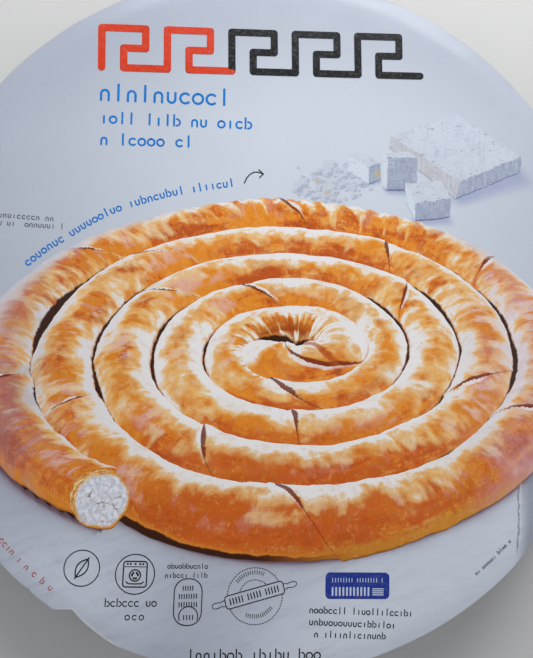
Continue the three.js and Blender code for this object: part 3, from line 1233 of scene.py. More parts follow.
def roll_tree(material):
    """Geometry tree: a fat roll of pastry coiled into a flat spiral, with folds."""
    tree, values, _ = geometry_tree("Coiled Roll", {
        "Steps Along": 2100, "Steps Across": 40, "Start Radius": 0.124, "End Radius": 0.01,
        "Pitch": 0.0263, "Narrowing": 0.0017, "Start Angle": radians(-126), "Tuck": 0.013,
        "Length": 2.1, "Front Swell": FRONT_SWELL, "Flatness": 0.76, "Fold Depth": 0.0012,
        "Wrinkle Depth": 0.0004, "Seam Step": 0.0008, "Seed": 2.0,
    })
    grid = add(tree, "GeometryNodeMeshGrid", {
        "Size X": 1.0, "Size Y": 1.0,
        "Vertices X": values["Steps Along"], "Vertices Y": values["Steps Across"],
    })
    x, y, _ = split(tree, add(tree, "GeometryNodeInputPosition").outputs[0])
    share, side = x + 0.5, y * 2.0
    start, end, pitch = values["Start Radius"], values["End Radius"], values["Pitch"]
    narrowing, seed = values["Narrowing"], values["Seed"]
    squares = start * start - end * end
    even = (start * start - squares * share).sqrt()
    turn = (pitch - (pitch * pitch - narrowing * (start - even) * 2.0).sqrt()) / narrowing
    along = share * values["Length"]
    near_cut = (-((turn / CUT_REACH) ** 2.0)).exp()
    tip = ((share - 0.993) / 0.007).at_least(0.0)
    tip = (tip * tip).minus_from(1.0).at_least(0.0).sqrt() * (share.step(0.965, 0.988) * 0.4 + 1.0)
    plump = noise(tree, join(tree, along * 24.0, seed), 1.0, 1.0) * 0.14 + 0.95
    half = (pitch - narrowing * turn) * 0.515 * (near_cut * 0.24).minus_from(1.0) * tip * plump
    rise = half * (near_cut * 0.24 + values["Flatness"])
    tuck = (turn / TUCK_REACH).minus_from(1.0).at_least(0.0) ** 2.0
    wander = (noise(tree, join(tree, along * 17.0, seed + 5.0), 1.0, 1.0) - 0.5) * 0.003
    swell = turn.step(*SWELL_IN) * turn.step(*SWELL_OUT) * values["Front Swell"] / 2.0
    half = half + swell
    radius = even - tuck * values["Tuck"] + wander + share.step(0.985, 0.998) * 0.003
    radius = radius + swell
    angle = side * radians(108)
    arm = radius + half * angle.sin()
    slant = (half * angle.sin() * 0.45 + rise * (angle.cos() + 1.0) * 0.2)
    slant = slant * (-((turn / 0.04) ** 2.0)).exp()
    azimuth = (values["Start Angle"] - turn * (2 * pi)) - slant / radius
    height = rise * (angle.cos() + 1.0)
    funnel = side.step(-0.6, -1.0) * along.step(1.86, 1.92)
    slope = noise(tree, join(tree, along * 9.0, seed + 7.0), 1.0, 1.0) * 0.8 - 0.28
    drift = noise(tree, join(tree, along * 11.0, seed + 9.0), 1.0) * 0.5
    phase = along / SEAM_DISTANCE + side * slope + drift
    marked = keep_vector(tree, grid.outputs[0], "form_place", join(tree, along, side, phase))
    coiled = add(tree, "GeometryNodeSetPosition", {
        "Geometry": marked,
        "Position": join(tree, arm * azimuth.cos() * funnel.minus_from(1.0) + funnel * 0.0005,
                         arm * azimuth.sin() * funnel.minus_from(1.0) + funnel * 0.0015, height),
    })
    geometry = coiled.outputs[0]

    along, side, phase = split(tree, add(
        tree, "GeometryNodeInputNamedAttribute", {"Name": "form_place"},
        data_type="FLOAT_VECTOR").outputs[0])
    flat = join(tree, along, side * ROLL_GIRTH, seed)
    lumps = (noise(tree, flat, 55.0, 3.0, 0.6) - 0.5) * values["Fold Depth"] * 2.4
    folds = (noise(tree, join(tree, along * 150.0, side * 1.5, seed), 1.0, 3.0, 0.6, 0.5) - 0.5)
    puckered = noise(tree, join(tree, along * 14.0, seed + 3.0), 1.0, 1.0).step(0.42, 0.62)
    puckered = puckered.at_least((along / values["Length"]).step(0.93, 0.97) * 2.0)
    folds = folds * puckered * values["Wrinkle Depth"] * 4.0
    wound = along * (2 * pi / TWIST_PITCH) + side * 4.5 + noise(tree, flat, 60.0, 1.0) * 5.0
    wrung = along.step(0.27, 0.31) * along.step(0.44, 0.39)
    twist = (abs(wound.sin()) - 0.5) * wrung * values["Fold Depth"] * 0.9
    pleats = (noise(tree, join(tree, along * 520.0, side * 1.2, seed), 1.0, 2.0) - 0.5) * 0.0016
    pleats = pleats * side.step(0.1, -0.3) * (along / values["Length"]).step(0.925, 0.945)
    last = ((along - FLAP_START) / 0.025).at_least(0.0)
    last = last * last * last.op("LESS_THAN", 1.0) * 0.0012
    overlap = (phase.fract() ** 5.0) * values["Seam Step"] + pleats + last
    normal = add(tree, "GeometryNodeInputNormal").outputs[0]
    push = add(tree, "ShaderNodeVectorMath", {0: normal, "Scale": lumps + folds + twist + overlap},
               operation="SCALE")
    puffed = add(tree, "GeometryNodeSetPosition", {"Geometry": geometry, "Offset": push.outputs[0]})
    geometry = keep_vector(tree, puffed.outputs[0], "form_normal",
                           add(tree, "GeometryNodeInputNormal").outputs[0])
    close_tree(tree, geometry, material)
    return tree


CUT_END = ((-70.2, -78.3), (12.0, 12.1))  # middle and half sizes on the card, in mm


class PIE_PACK_OT_printed_pie(bpy.types.Operator):
    """Draw the coiled pie and its cut end on the card"""
    bl_idname = "pie_pack.printed_pie"
    bl_label = "Printed Pie"

    def execute(self, context):
        roll = context.scene.pie_pack_roll
        pastry = pastry_material()
        form = grow("roll_form", roll_tree(pastry), {
            "Start Radius": roll.start_radius, "End Radius": roll.end_radius, "Pitch": roll.pitch,
            "Narrowing": roll.narrowing, "Start Angle": roll.start_angle, "Tuck": roll.tuck,
            "Fold Depth": roll.fold_depth, "Wrinkle Depth": roll.wrinkle_depth,
        })
        mesh = form.data
        points, faces = points_of(mesh), faces_of(mesh)
        normals, places = vectors_of(mesh, "form_normal"), vectors_of(mesh, "form_place")
        bpy.data.objects.remove(form)
        picture_piece("print_pie", points, normals, places, faces, pastry)
        self.cut_end()
        return {"FINISHED"}

    def cut_end(self):
        """Draws the filling that shows where the roll is cut through."""
        middle, (wide, tall) = mm(*CUT_END[:1])[0], mm(*CUT_END[1:])[0]
        turn = np.linspace(0, 2 * pi, 96, endpoint=False)
        reach = 1 + 0.07 * waves(10 * np.cos(turn), 10 * np.sin(turn), 9, 31)
        outline = np.column_stack((wide * np.cos(turn) * reach, tall * np.sin(turn) * reach))
        points, faces = patch(outline, 14)
        lift = INK_LIFT + PICTURE_RELIEF + 0.02 * MM
        piece = mesh_piece("print_cut_end", lay_on_card(points + middle, lift), faces,
                           filling_material())
        share = np.concatenate(([0], np.repeat(np.arange(1, 15) / 14, len(turn))))
        set_vectors(piece.data, "form_place", np.column_stack((points, share)))
        settle(piece)


# ---------------------------------------------------------------- the pictured cheese

def side_grid(corners, cells=44):
    """A four-cornered side as a grid: points, shares along and up it, and quads."""
    line = np.linspace(0, 1, cells + 1)
    u, v = [grid.ravel() for grid in np.meshgrid(line, line, indexing="ij")]
    a, b, c, d = corners
    points = (np.outer((1 - u) * (1 - v), a) + np.outer(u * (1 - v), b)
              + np.outer(u * v, c) + np.outer((1 - u) * v, d))
    i, j = [grid.ravel() for grid in np.meshgrid(range(cells), range(cells), indexing="ij")]
    base = i * (cells + 1) + j
    return points, u, v, np.stack((base, base + cells + 1, base + cells + 2, base + 1), -1)


def drawn_block(block, seed):
    """A rough-cut block, as seen: points, shares of left, right and top, heights, quads."""
    low_left, low_front, low_right, high_right, rear, high_left, high_front = mm(*block)
    sides = ((low_left, low_front, high_front, high_left),
             (low_front, low_right, high_right, high_front),
             (high_left, high_front, high_right, rear))
    points, weights, heights, quads = [], [], [], []
    for kind, corners in enumerate(sides):
        flat, u, v, faces = side_grid(corners)
        wide = BLOCK_BEVEL / np.linalg.norm(corners[1] - corners[0])
        tall = BLOCK_BEVEL / np.linalg.norm(corners[2] - corners[1])
        near_left, near_right = smoothstep(u, wide, 0) / 2, smoothstep(u, 1 - wide, 1) / 2
        low, high = smoothstep(v, tall, 0) / 2, smoothstep(v, 1 - tall, 1) / 2
        share = np.zeros((len(flat), 3))
        if kind == 0:
            share[:, 1], share[:, 2] = near_right, high
        elif kind == 1:
            share[:, 0], share[:, 2] = near_left, high
        else:
            share[:, 0], share[:, 1] = low, near_right
        share[:, kind] = 1 - share.sum(1)
        start = sum(len(part) for part in points)
        points.append(flat)
        weights.append(share)
        heights.append(v if kind < 2 else np.ones(len(flat)))
        quads.append(faces + start)
    points = np.vstack(points)
    x, y = points.T
    rough = np.column_stack((waves(x, y, 2.2 * MM, seed), waves(x, y, 2.2 * MM, seed + 1)))
    rough += np.column_stack((waves(x, y, 6 * MM, seed + 2), waves(x, y, 6 * MM, seed + 3)))
    return points + rough * 0.35 * MM, np.vstack(weights), np.concatenate(heights), np.vstack(quads)


def near_ochre(x, y):
    """Nearness to the yellowish spots of the cheese, 1 in their middles."""
    spots = [np.exp(-((x - a * MM) ** 2 + (y - b * MM) ** 2) / (size * MM) ** 2)
             for a, b, size in OCHRE_SPOTS]
    return np.max(spots, axis=0)


def crumb_tree(material):
    """Geometry tree: a scatter of cheese crumbs, thickest in its middle."""
    tree, values, _ = geometry_tree("Cheese Crumbs", {
        "Width": 0.056, "Depth": 0.075, "Density": 60000.0,
        "Smallest": 0.0008, "Largest": 0.0046, "Seed": 6,
    })
    sheet = add(tree, "GeometryNodeMeshGrid", {
        "Size X": values["Width"], "Size Y": values["Depth"], "Vertices X": 20, "Vertices Y": 20,
    })
    x, y, _ = split(tree, add(tree, "GeometryNodeInputPosition").outputs[0])
    out = ((x / values["Width"]) ** 2.0 + (y / values["Depth"]) ** 2.0).sqrt() * 2.0
    spread = add(tree, "GeometryNodeDistributePointsOnFaces", {
        "Mesh": sheet.outputs[0], "Density": out.step(1.0, 0.2) * values["Density"],
        "Seed": values["Seed"],
    })
    chance = add(tree, "FunctionNodeRandomValue", {"Seed": values["Seed"]}, data_type="FLOAT")
    pick = Field(tree, chance.outputs[1])
    size = (pick ** 3.0) * (values["Largest"] - values["Smallest"]) + values["Smallest"]
    crumb = add(tree, "GeometryNodeMeshIcoSphere", {"Radius": 1.0, "Subdivisions": 3})
    strewn = add(tree, "GeometryNodeInstanceOnPoints", {
        "Points": spread.outputs[0], "Instance": crumb.outputs[0],
        "Scale": join(tree, size, size * 0.8, size * 0.8),
    })
    real = add(tree, "GeometryNodeRealizeInstances", {0: strewn.outputs[0]})
    where = add(tree, "GeometryNodeInputPosition").outputs[0]
    bumps = (noise(tree, where, 420.0, 4.0, 0.7) - 0.5) * 0.0045
    normal = add(tree, "GeometryNodeInputNormal").outputs[0]
    push = add(tree, "ShaderNodeVectorMath", {0: normal, "Scale": bumps}, operation="SCALE")
    rough = add(tree, "GeometryNodeSetPosition", {
        "Geometry": real.outputs[0], "Offset": push.outputs[0]})
    geometry = keep_vector(tree, rough.outputs[0], "form_normal",
                           add(tree, "GeometryNodeInputNormal").outputs[0])
    close_tree(tree, geometry, material)
    return tree


class PIE_PACK_OT_printed_cheese(bpy.types.Operator):
    """Draw the cheese blocks and crumbs on the card"""
    bl_idname = "pie_pack.printed_cheese"
    bl_label = "Printed Cheese"

    def execute(self, context):
        cheese = cheese_material()
        points, weights, faces, tones, start = [], [], [], [], 0
        for order, block in enumerate(CHEESE_BLOCKS):
            flat, shares, heights, quads = drawn_block(block, 40 + 5 * order)
            points.append(lay_on_card(flat, INK_LIFT + order * 0.02 * MM))
            places = np.column_stack((flat + order * 50 * MM, heights))
            weights.append(np.column_stack((shares, places)))
            tones.append(np.full(len(flat), float(order == 0)))
            faces.append(quads + start)
            start += len(flat)
        points, weights = np.vstack(points), np.vstack(weights)
        piece = mesh_piece("print_cheese_blocks", points, np.vstack(faces), cheese)
        set_vectors(piece.data, "form_normal", weights[:, :3])
        set_vectors(piece.data, "form_place", weights[:, 3:])
        set_values(piece.data, "tone", np.concatenate(tones))
        set_values(piece.data, "ochre", near_ochre(points[:, 0], points[:, 1]))
        settle(piece)

        form = grow("crumb_form", crumb_tree(cheese), {})
        mesh = form.data
        points, faces = points_of(mesh), faces_of(mesh)
        normals = vectors_of(mesh, "form_normal")
        bpy.data.objects.remove(form)
        dim = np.clip(normals @ (0.4, -0.5, -0.4) + 0.14, 0, 0.42)
        shares = np.column_stack((0 * dim, dim, 1 - dim))
        points = points + CRUMBS_PLACE
        clear = points[:, 2] * 200 + 1  # high enough for no dark line at the foot
        places = np.column_stack((points[:, :2], clear))
        piece = picture_piece("print_cheese_crumbs", points, shares, places, faces, cheese)
        drawn = points_of(piece.data)
        set_values(piece.data, "tone", 0 * drawn[:, 0])
        set_values(piece.data, "ochre", near_ochre(drawn[:, 0], drawn[:, 1]))
        return {"FINISHED"}


# ---------------------------------------------------------------- band, lines and signs

BAND_START, BAND_END = mm((-73.4, 104.0), (66.4, 105.2))
BAND_HEIGHT = 17.6 * MM
BAND_STROKE = 3.2 * MM
BAND_UNITS, BAND_WARM_UNITS = 5, 2
KEY_COLUMNS, KEY_ROWS = 9, 6
KEY_STEPS = ((0, 0), (0, 6), (6, 6), (6, 3), (3, 3), (3, 0), (9, 0))  # one unit of the pattern


def key_unit(width, height):
    """One unit of the key pattern, with round joints."""
    corners = [np.array((a * width / KEY_COLUMNS, b * height / KEY_ROWS)) for a, b in KEY_STEPS]
    shapes = []
    for one, other in zip(corners, corners[1:]):
        pieces = max(2, int(np.linalg.norm(other - one) / (2 * MM)))
        line = [one + (other - one) * k / pieces for k in range(pieces + 1)]
        shapes.append(ribbon(line, BAND_STROKE))
    return shapes


def repeat_tree(name, material):
    """Geometry tree: a shape repeated in a row."""
    tree, values, shape = geometry_tree(name, {"Units": 3, "Period": 0.028, "First": 0.0})
    row = add(tree, "GeometryNodeMeshLine", {
        "Count": values["Units"], "Start Location": join(tree, values["First"], 0.0),
        "Offset": join(tree, values["Period"], 0.0),
    })
    placed = add(tree, "GeometryNodeInstanceOnPoints", {"Points": row.outputs[0]})
    tree.links.new(shape, placed.inputs["Instance"])
    close_tree(tree, placed.outputs[0], material)
    return tree


class PIE_PACK_OT_printed_band(bpy.types.Operator):
    """Draw the key-pattern band at the head of the print"""
    bl_idname = "pie_pack.printed_band"
    bl_label = "Printed Band"

    def execute(self, context):
        inks = context.scene.pie_pack_print
        run = BAND_END - BAND_START
        period = hypot(*run) / BAND_UNITS
        slope = np.degrees(np.arctan2(run[1], run[0]))
        halves = (
            ("print_band_warm", ink("ink_warm_red", inks.warm_red), 0, BAND_WARM_UNITS),
            ("print_band_dark", ink("ink_black", inks.black), BAND_WARM_UNITS,
             BAND_UNITS - BAND_WARM_UNITS),
        )
        for name, material, first, units in halves:
            unit = bpy.data.meshes.new(name + "_unit")
            points, faces = joined(key_unit(period, BAND_HEIGHT))
            unit.from_pydata(points, [], faces)
            piece = grow(name, repeat_tree("Key Band", material), {
                "Units": units, "Period": period, "First": first * period}, unit)
            flat = turned(points_of(piece.data)[:, :2], slope) + BAND_START
            set_points(piece.data, lay_on_card(flat, BAND_LIFT))
            piece.data.shade_smooth()
            settle(piece)
        return {"FINISHED"}


SIGN_KINDS = 7


def sign_strokes(weight):
    """Plain shapes of unit height that stand for letters: bars, rings and arches."""
    low, high = weight / 2, 0.68 - weight / 2
    half = high / 2
    arch = arc((0, high - 0.2), 0.2, 0, 180, 9)
    return (
        (((0, low), (0, 0.5), (0, 1 - low)),),
        (((0, low), (0, half), (0, high)),),
        (arc((0, half + low / 2), half - low / 2, 90, 450, 19),),
        (np.vstack(((0.2, low), arch, (-0.2, low))),),
        (np.vstack(((0.2, high), arch * (1, -1) + (0, high + low), (-0.2, high))),),
        (arc((0.03, half + low / 2), half - low / 2, 50, 310, 15),),
        (((-0.2, low), (-0.2, 0.5), (-0.2, 1 - low)),
         arc((0, half + low / 2), half - low / 2, -90, 90, 9)),
    )


def sign_sheet(weight):
    """A mesh of all those shapes, each marked with its number."""
    shapes, kinds = [], []
    for kind, strokes in enumerate(sign_strokes(weight)):
        for line in strokes:
            shapes.append(ribbon(line, weight))
            kinds += [kind] * len(shapes[-1][0])
    points, faces = joined(shapes)
    mesh = bpy.data.meshes.new("sign_sheet")
    mesh.from_pydata(points, [], faces)
    set_values(mesh, "kind", kinds)
    return bpy.data.objects.new("sign_sheet", mesh)


def row_tree(material):
    """Geometry tree: a row of small shapes with gaps, along a line."""
    tree, values, line = geometry_tree("Sign Row", {"Height": 0.005, "Gaps": 0.15, "Seed": 1})
    tree.interface.new_socket("Signs", in_out="INPUT", socket_type="NodeSocketObject")
    source = next(node for node in tree.nodes if node.bl_idname == "NodeGroupInput")
    sheet = add(tree, "GeometryNodeObjectInfo", {"Object": source.outputs["Signs"]})
    kind = Field(tree, add(tree, "GeometryNodeInputNamedAttribute", {"Name": "kind"},
                           data_type="FLOAT").outputs[0])
    signs = add(tree, "GeometryNodeJoinGeometry")
    for number in range(SIGN_KINDS):
        own = add(tree, "GeometryNodeSeparateGeometry", {
            "Geometry": sheet.outputs["Geometry"],
            "Selection": abs(kind - float(number)).op("LESS_THAN", 0.5)})
        single = add(tree, "GeometryNodeGeometryToInstance", {0: own.outputs[0]})
        tree.links.new(single.outputs[0], signs.inputs[0])
    curve = add(tree, "GeometryNodeMeshToCurve")
    tree.links.new(line, curve.inputs[0])
    even = add(tree, "GeometryNodeResampleCurve", mode="LENGTH")
    plug(tree, even.inputs["Curve"], curve.outputs[0])
    plug(tree, even.inputs["Length"], values["Height"] * 0.68)
    dots = add(tree, "GeometryNodeCurveToPoints", {"Curve": even.outputs[0]}, mode="EVALUATED")
    drop = add(tree, "FunctionNodeRandomValue", {
        "Probability": values["Gaps"], "Seed": values["Seed"]}, data_type="BOOLEAN")
    words = add(tree, "GeometryNodeDeleteGeometry", {
        "Geometry": dots.outputs[0], "Selection": drop.outputs[3]}, domain="POINT")
    facing = add(tree, "FunctionNodeAlignRotationToVector", {
        "Vector": dots.outputs["Tangent"]}, axis="X")
    pick = add(tree, "FunctionNodeRandomValue", {"Seed": values["Seed"] + 7.0}, data_type="INT")
    pick.inputs[5].default_value = SIGN_KINDS - 1
    pick.inputs[4].default_value = 0
    placed = add(tree, "GeometryNodeInstanceOnPoints", {
        "Points": words.outputs[0], "Instance": signs.outputs[0], "Pick Instance": True,
        "Instance Index": pick.outputs[2], "Rotation": facing.outputs[0],
        "Scale": join(tree, values["Height"], values["Height"], values["Height"]),
    })
    close_tree(tree, placed.outputs[0], material)
    return tree


# Rows of small shapes: their ink, their line in mm, and their height and weight
SIGN_ROWS = (
    ("blue", ((-71.8, 89.0), (-20.8, 88.6)), 8.0, 0.13),
    ("blue", ((-72.0, 79.1), (-10.4, 78.4)), 5.5, 0.15),
    ("blue", ((-71.8, 69.6), (-36.0, 69.6)), 5.5, 0.15),
    ("blue", ((-100.8, 17.5), (-93.2, 23.8), (-84.9, 29.2), (-76.9, 34.5), (-68.6, 39.3),
              (-60.5, 42.6), (-52.0, 45.3), (-43.6, 47.8), (-35.1, 49.6), (-26.2, 51.3),
              (-17.2, 52.7)), 3.9, 0.16),
    ("black", ((-66.5, -120.6), (-45.5, -121.2)), 3.4, 0.13),
    ("black", ((-58.4, -126.0), (-52.8, -126.2)), 3.2, 0.13),
    ("black", ((-42.0, -106.4), (-27.0, -106.8)), 2.2, 0.15),
    ("black", ((-43.0, -110.0), (-25.6, -110.4)), 2.2, 0.15),
    ("black", ((-33.0, -142.4), (18.3, -143.6)), 4.6, 0.12),
    ("black", ((16.0, -125.4), (57.4, -127.7)), 2.9, 0.15),
    ("black", ((15.9, -130.1), (50.1, -132.3)), 2.9, 0.15),
    ("black", ((15.9, -134.8), (45.9, -136.5)), 2.9, 0.15),
    ("grey", ((-113.7, 37.4), (-92.6, 36.2)), 2.6, 0.15),
    ("grey", ((-113.6, 34.1), (-88.4, 32.9)), 2.6, 0.15),
    ("black", ((86.5, -111.6), (94.0, -105.4), (101.2, -98.7)), 1.8, 0.17),
    ("red", ((-109.3, -94.6), (-105.3, -98.9), (-99.6, -104.9), (-94.1, -109.7), (-89.6, -113.6)),
     2.9, 0.13),
)


class PIE_PACK_OT_printed_rows(bpy.types.Operator):
    """Draw rows of plain shapes where a pack has its words"""
    bl_idname = "pie_pack.printed_rows"
    bl_label = "Printed Rows"

    def execute(self, context):
        inks = context.scene.pie_pack_print
        for hue in ("blue", "black", "grey", "red"):
            material = ink("ink_" + hue, getattr(inks, hue))
            tree = row_tree(material)
            shapes = []
            for seed, (row_hue, line, height, weight) in enumerate(SIGN_ROWS):
                if row_hue == hue:
                    shapes.append(self.row(tree, line, height * MM, weight, seed))
            print_piece("print_rows_" + hue, shapes, material, SIGN_LIFT)
        return {"FINISHED"}

    def row(self, tree, line, height, weight, seed):
        path = bpy.data.meshes.new("row_line")
        path.from_pydata([(x * MM, y * MM, 0) for x, y in line],
                         [(i, i + 1) for i in range(len(line) - 1)], [])
        sheet = sign_sheet(weight)
        made = grow("row_form", tree, {"Height": height, "Seed": seed, "Signs": sheet}, path)
        points = points_of(made.data)[:, :2]
        faces = [list(face.vertices) for face in made.data.polygons]
        bpy.data.objects.remove(made)
        bpy.data.objects.remove(sheet)
        return points, faces


def dash_tree(material):
    """Geometry tree: short dashes set round a circle."""
    tree, values, _ = geometry_tree("Dashed Ring", {
        "Dashes": 60, "Radius": 0.0112, "Length": 0.00075, "Width": 0.00035,
    })
    circle = add(tree, "GeometryNodeMeshCircle", {
        "Vertices": values["Dashes"], "Radius": values["Radius"]})
    here = add(tree, "GeometryNodeInputPosition").outputs[0]
    facing = add(tree, "FunctionNodeAlignRotationToVector", {"Vector": here}, axis="Y")
    bar = add(tree, "GeometryNodeMeshGrid", {
        "Size X": values["Length"], "Size Y": values["Width"], "Vertices X": 2, "Vertices Y": 2})
    placed = add(tree, "GeometryNodeInstanceOnPoints", {
        "Points": circle.outputs[0], "Instance": bar.outputs[0], "Rotation": facing.outputs[0]})
    close_tree(tree, placed.outputs[0], material)
    return tree


LEAF_PLACE, OVEN_PLACE, PORTION_PLACE, STAMP_PLACE, PIN_PLACE, BADGE_PLACE = mm(
    (-76.7, -105.3), (-55.6, -108.2), (-34.3, -119.6), (-7.1, -118.0), (-7.2, -117.6),
    (35.4, -114.9))
STAMP_RINGS = ((11.2, 64), (6.4, 36))  # radius in mm and number of dashes
PIN_TURN, PIN_SIZE = 14.0, mm((24.5, 5.2))[0]
LEAF_TURN, SIGN_TURN, BADGE_TURN = -35, -2, -1.5  # degrees

# Rows of bars on the badge: height on it, left and right end, and the bars' height,
# spacing and width, all in mm, and how many bars there are to a gap
BADGE_ROWS = ((2.2, -10.4, 10.6, 1.5, 1.15, 0.32, 9), (-2.3, -10.4, 5.0, 2.9, 1.5, 0.75, 99))


class PIE_PACK_OT_printed_signs(bpy.types.Operator):
    """Draw the small round and boxed signs of the print"""
    bl_idname = "pie_pack.printed_signs"
    bl_label = "Printed Signs"

    def execute(self, context):
        inks = context.scene.pie_pack_print
        black = ink("ink_black", inks.black)
        shapes = self.leaf_sign(LEAF_PLACE)
        shapes += self.oven_sign(OVEN_PLACE, SIGN_TURN)
        shapes += self.portion_sign()
        shapes += self.stamp()
        shapes += self.arrow()
        tree = dash_tree(black)
        for radius, dashes in STAMP_RINGS:
            made = grow("dash_form", tree, {"Radius": radius * MM, "Dashes": dashes})
            points = points_of(made.data)[:, :2] + STAMP_PLACE
            faces = faces_of(made.data)
            bpy.data.objects.remove(made)
            clear = self.clear_of_pin(points[faces].mean(1))
            shapes.append((points, faces[clear].tolist()))
        print_piece("print_signs", shapes, black, SIGN_LIFT)
        self.badge(inks)
        return {"FINISHED"}

    def leaf_sign(self, centre):
        """A plain ring with a leaf in it."""
        blade = np.linspace(-1, 1, 17)
        width = 2.1 * MM * (1 - blade ** 2)
        half = 4.2 * MM
        left = np.column_stack((-width, blade * half))
        right = np.column_stack((width, blade * half))
        stem = np.column_stack((0 * blade, blade * half * 1.15))
        leaf = [ribbon(turned(line, LEAF_TURN) + centre, BOLD_LINE) for line in (left, right, stem)]
        return [ring(centre, 7.0 * MM, FINE_LINE), *leaf]

    def oven_sign(self, centre, tilt):
        """A ring with an oven: a box with knobs and a round window."""
        box = rounded_box(centre, (9.4 * MM, 10 * MM), 1.1 * MM, tilt)
        panel = turned(mm((-4.5, 2.9), (0, 2.9), (4.5, 2.9)), tilt) + centre
        tray = mm((-3.4, -3.0), (-2.6, -3.7), (0, -3.8), (2.6, -3.7), (3.4, -3.0))
        tray = turned(tray, tilt) + centre
        shapes = [ring(centre, 7.8 * MM, FINE_LINE), ribbon(box, BOLD_LINE, closed=True),
                  ribbon(panel, 0.3 * MM), ribbon(tray, 0.5 * MM),
                  ring(turned(mm((0, -0.5)), tilt)[0] + centre, 2.2 * MM, BOLD_LINE)]
        for x in (-3.1, -1.9, 0, 1.9, 3.1):
            knob = turned(mm((x, 4.0)), tilt)[0] + centre
            shapes.append(patch(arc(knob, FINE_LINE, 0, 330, 12), 1))
        for k in range(3):
            spoke = arc((0, -0.5 * MM), 1.2 * MM, 120 * k, 120 * k + 60, 7)
            shapes.append(ribbon(turned(spoke, tilt) + centre, 0.75 * MM))
        return shapes

    def portion_sign(self):
        """An upright pill with an arch at its foot and short bars."""
        centre = PORTION_PLACE
        pill = rounded_box(centre, (11.2 * MM, 18.2 * MM), 5.0 * MM, SIGN_TURN)
        shapes = [ribbon(pill, FINE_LINE, closed=True),
                  ribbon(arc(centre + mm((0.2, -5.6))[0], 3.8 * MM, -22, 202, 30), FINE_LINE)]
        for y, half in ((5.4, 2.4), (2.2, 3.9), (-1.0, 4.0)):
            count = int(half * 2 / 0.9)
            for k in range(count):
                x = -half + (k + 0.5) * 2 * half / count
                bar = centre + mm((x, y - 0.8), (x, y), (x, y + 0.8))
                shapes.append(ribbon(bar, FINE_LINE))
        for x in (-1.6, -0.4, 0.8, 2.0):
            shapes.append(ribbon(centre + mm((x, -6.8), (x, -6.0), (x, -5.2)), FINE_LINE))
        return shapes

    def clear_of_pin(self, points):
        """Which points of the stamp's rings are drawn: off the pin, and no inner foot."""
        local = turned(points - PIN_PLACE, -PIN_TURN)
        off = np.abs(local[:, 1]) > PIN_SIZE[1] / 2
        inner = np.hypot(*local.T) < 8 * MM
        return off & ~(inner & (local[:, 1] < 0))

    def stamp(self):
        """A rolling pin over dashed rings, with rows of strokes in it."""
        def place(points):
            return turned(points, PIN_TURN) + PIN_PLACE

        body = rounded_box(PIN_PLACE, PIN_SIZE, 1.3 * MM, PIN_TURN)
        shapes = [ribbon(body, FINE_LINE, closed=True)]
        for sense in (-1, 1):
            half = mm((12.4, 1.1), (13.6, 1.1), (13.8, 0.7), (14.8, 1.0), (16.6, 1.1), (17.6, 0.6))
            handle = np.vstack((half, mm((17.8, 0)), half[::-1] * (1, -1))) * (sense, 1)
            shapes.append(ribbon(place(handle), 0.32 * MM))
        for k, x in enumerate(np.arange(-10.2, 10.4, 1.25)):
            if k % 6 != 5:
                shapes.append(ribbon(place(mm((x, -1.1), (x, 0), (x, 1.1))), 0.5 * MM))
        for start, end, radius in ((52, 128, 9.0), (232, 308, 8.4)):
            for angle in np.radians(np.linspace(start, end, 14)):
                out = np.array((cos(angle), sin(angle)))
                line = [place(out * (radius + step) * MM) for step in (-0.7, 0, 0.7)]
                shapes.append(ribbon(line, 0.3 * MM))
        return shapes

    def arrow(self):
        """A small curved arrow."""
        shaft = mm((-11.9, 54.6), (-10.9, 56.8), (-9.6, 58.4), (-8.0, 59.4), (-6.2, 59.6),
                   (-4.4, 59.0))
        head = mm((-5.6, 60.6), (-3.7, 58.8), (-5.3, 57.2))
        return [ribbon(shaft, BOLD_LINE), ribbon(head[:2], BOLD_LINE), ribbon(head[1:], BOLD_LINE)]

    def badge(self, inks):
        """A blue badge with pale bars on it."""
        def place(points):
            return turned(points, BADGE_TURN) + BADGE_PLACE

        outline = rounded_box(BADGE_PLACE, (26.8 * MM, 10.6 * MM), 1.9 * MM, BADGE_TURN)
        navy, pale = ink("ink_navy", inks.navy), ink("ink_pale", BAR_PALE)
        print_piece("print_badge", [patch(outline, 6)], navy, SIGN_LIFT)
        shapes = []
        for y, left, right, height, spacing, width, skip in BADGE_ROWS:
            for k, x in enumerate(np.arange(left, right, spacing)):
                if k % skip != skip - 1:
                    line = mm((x, y - height / 2), (x, y), (x, y + height / 2))
                    shapes.append(ribbon(place(line), width * MM))
        for y in (-1.2, -2.0, -2.8, -3.6):
            shapes.append(ribbon(place(mm((6.4, y), (8.4, y), (10.8, y))), 0.45 * MM))
        print_piece("print_badge_bars", shapes, pale, OVERPRINT_LIFT)


# ---------------------------------------------------------------- stage

CAMERA_PLACE = (-21.98 * MM, -30.13 * MM, 291.3 * MM)
CAMERA_TURN = (radians(4.72), radians(-4.30), 0)
SENSOR_HEIGHT = 24.0  # of the film, in mm
IMAGE_HEIGHT, FOCAL_PIXELS = 658, 620

# Soft lights: name, place, the point of the card that it looks at, size, its power's
# setting, and its tint. All lengths are in metres.
LIGHTS = (
    ("key_softbox", (0.08, 0.5, 0.38), (0, 0), (0.5, 0.2), "key_power", (0.98, 0.99, 1.0)),
    ("fill_softbox", (-0.2, -1.2, 1.0), (0, 0), (1.2, 0.6), "fill_power", (1.0, 0.985, 0.97)),
    ("left_glow", (-0.30, 0.20, 0.63), (-0.1, 0.03), (0.22, 0.3), "glow_power",
     (0.95, 0.97, 1.0)),
    ("right_glow", (0.36, -0.04, 0.63), (0.1, -0.04), (0.05, 0.26), "glow_power",
     (1.0, 0.93, 0.93)),
)


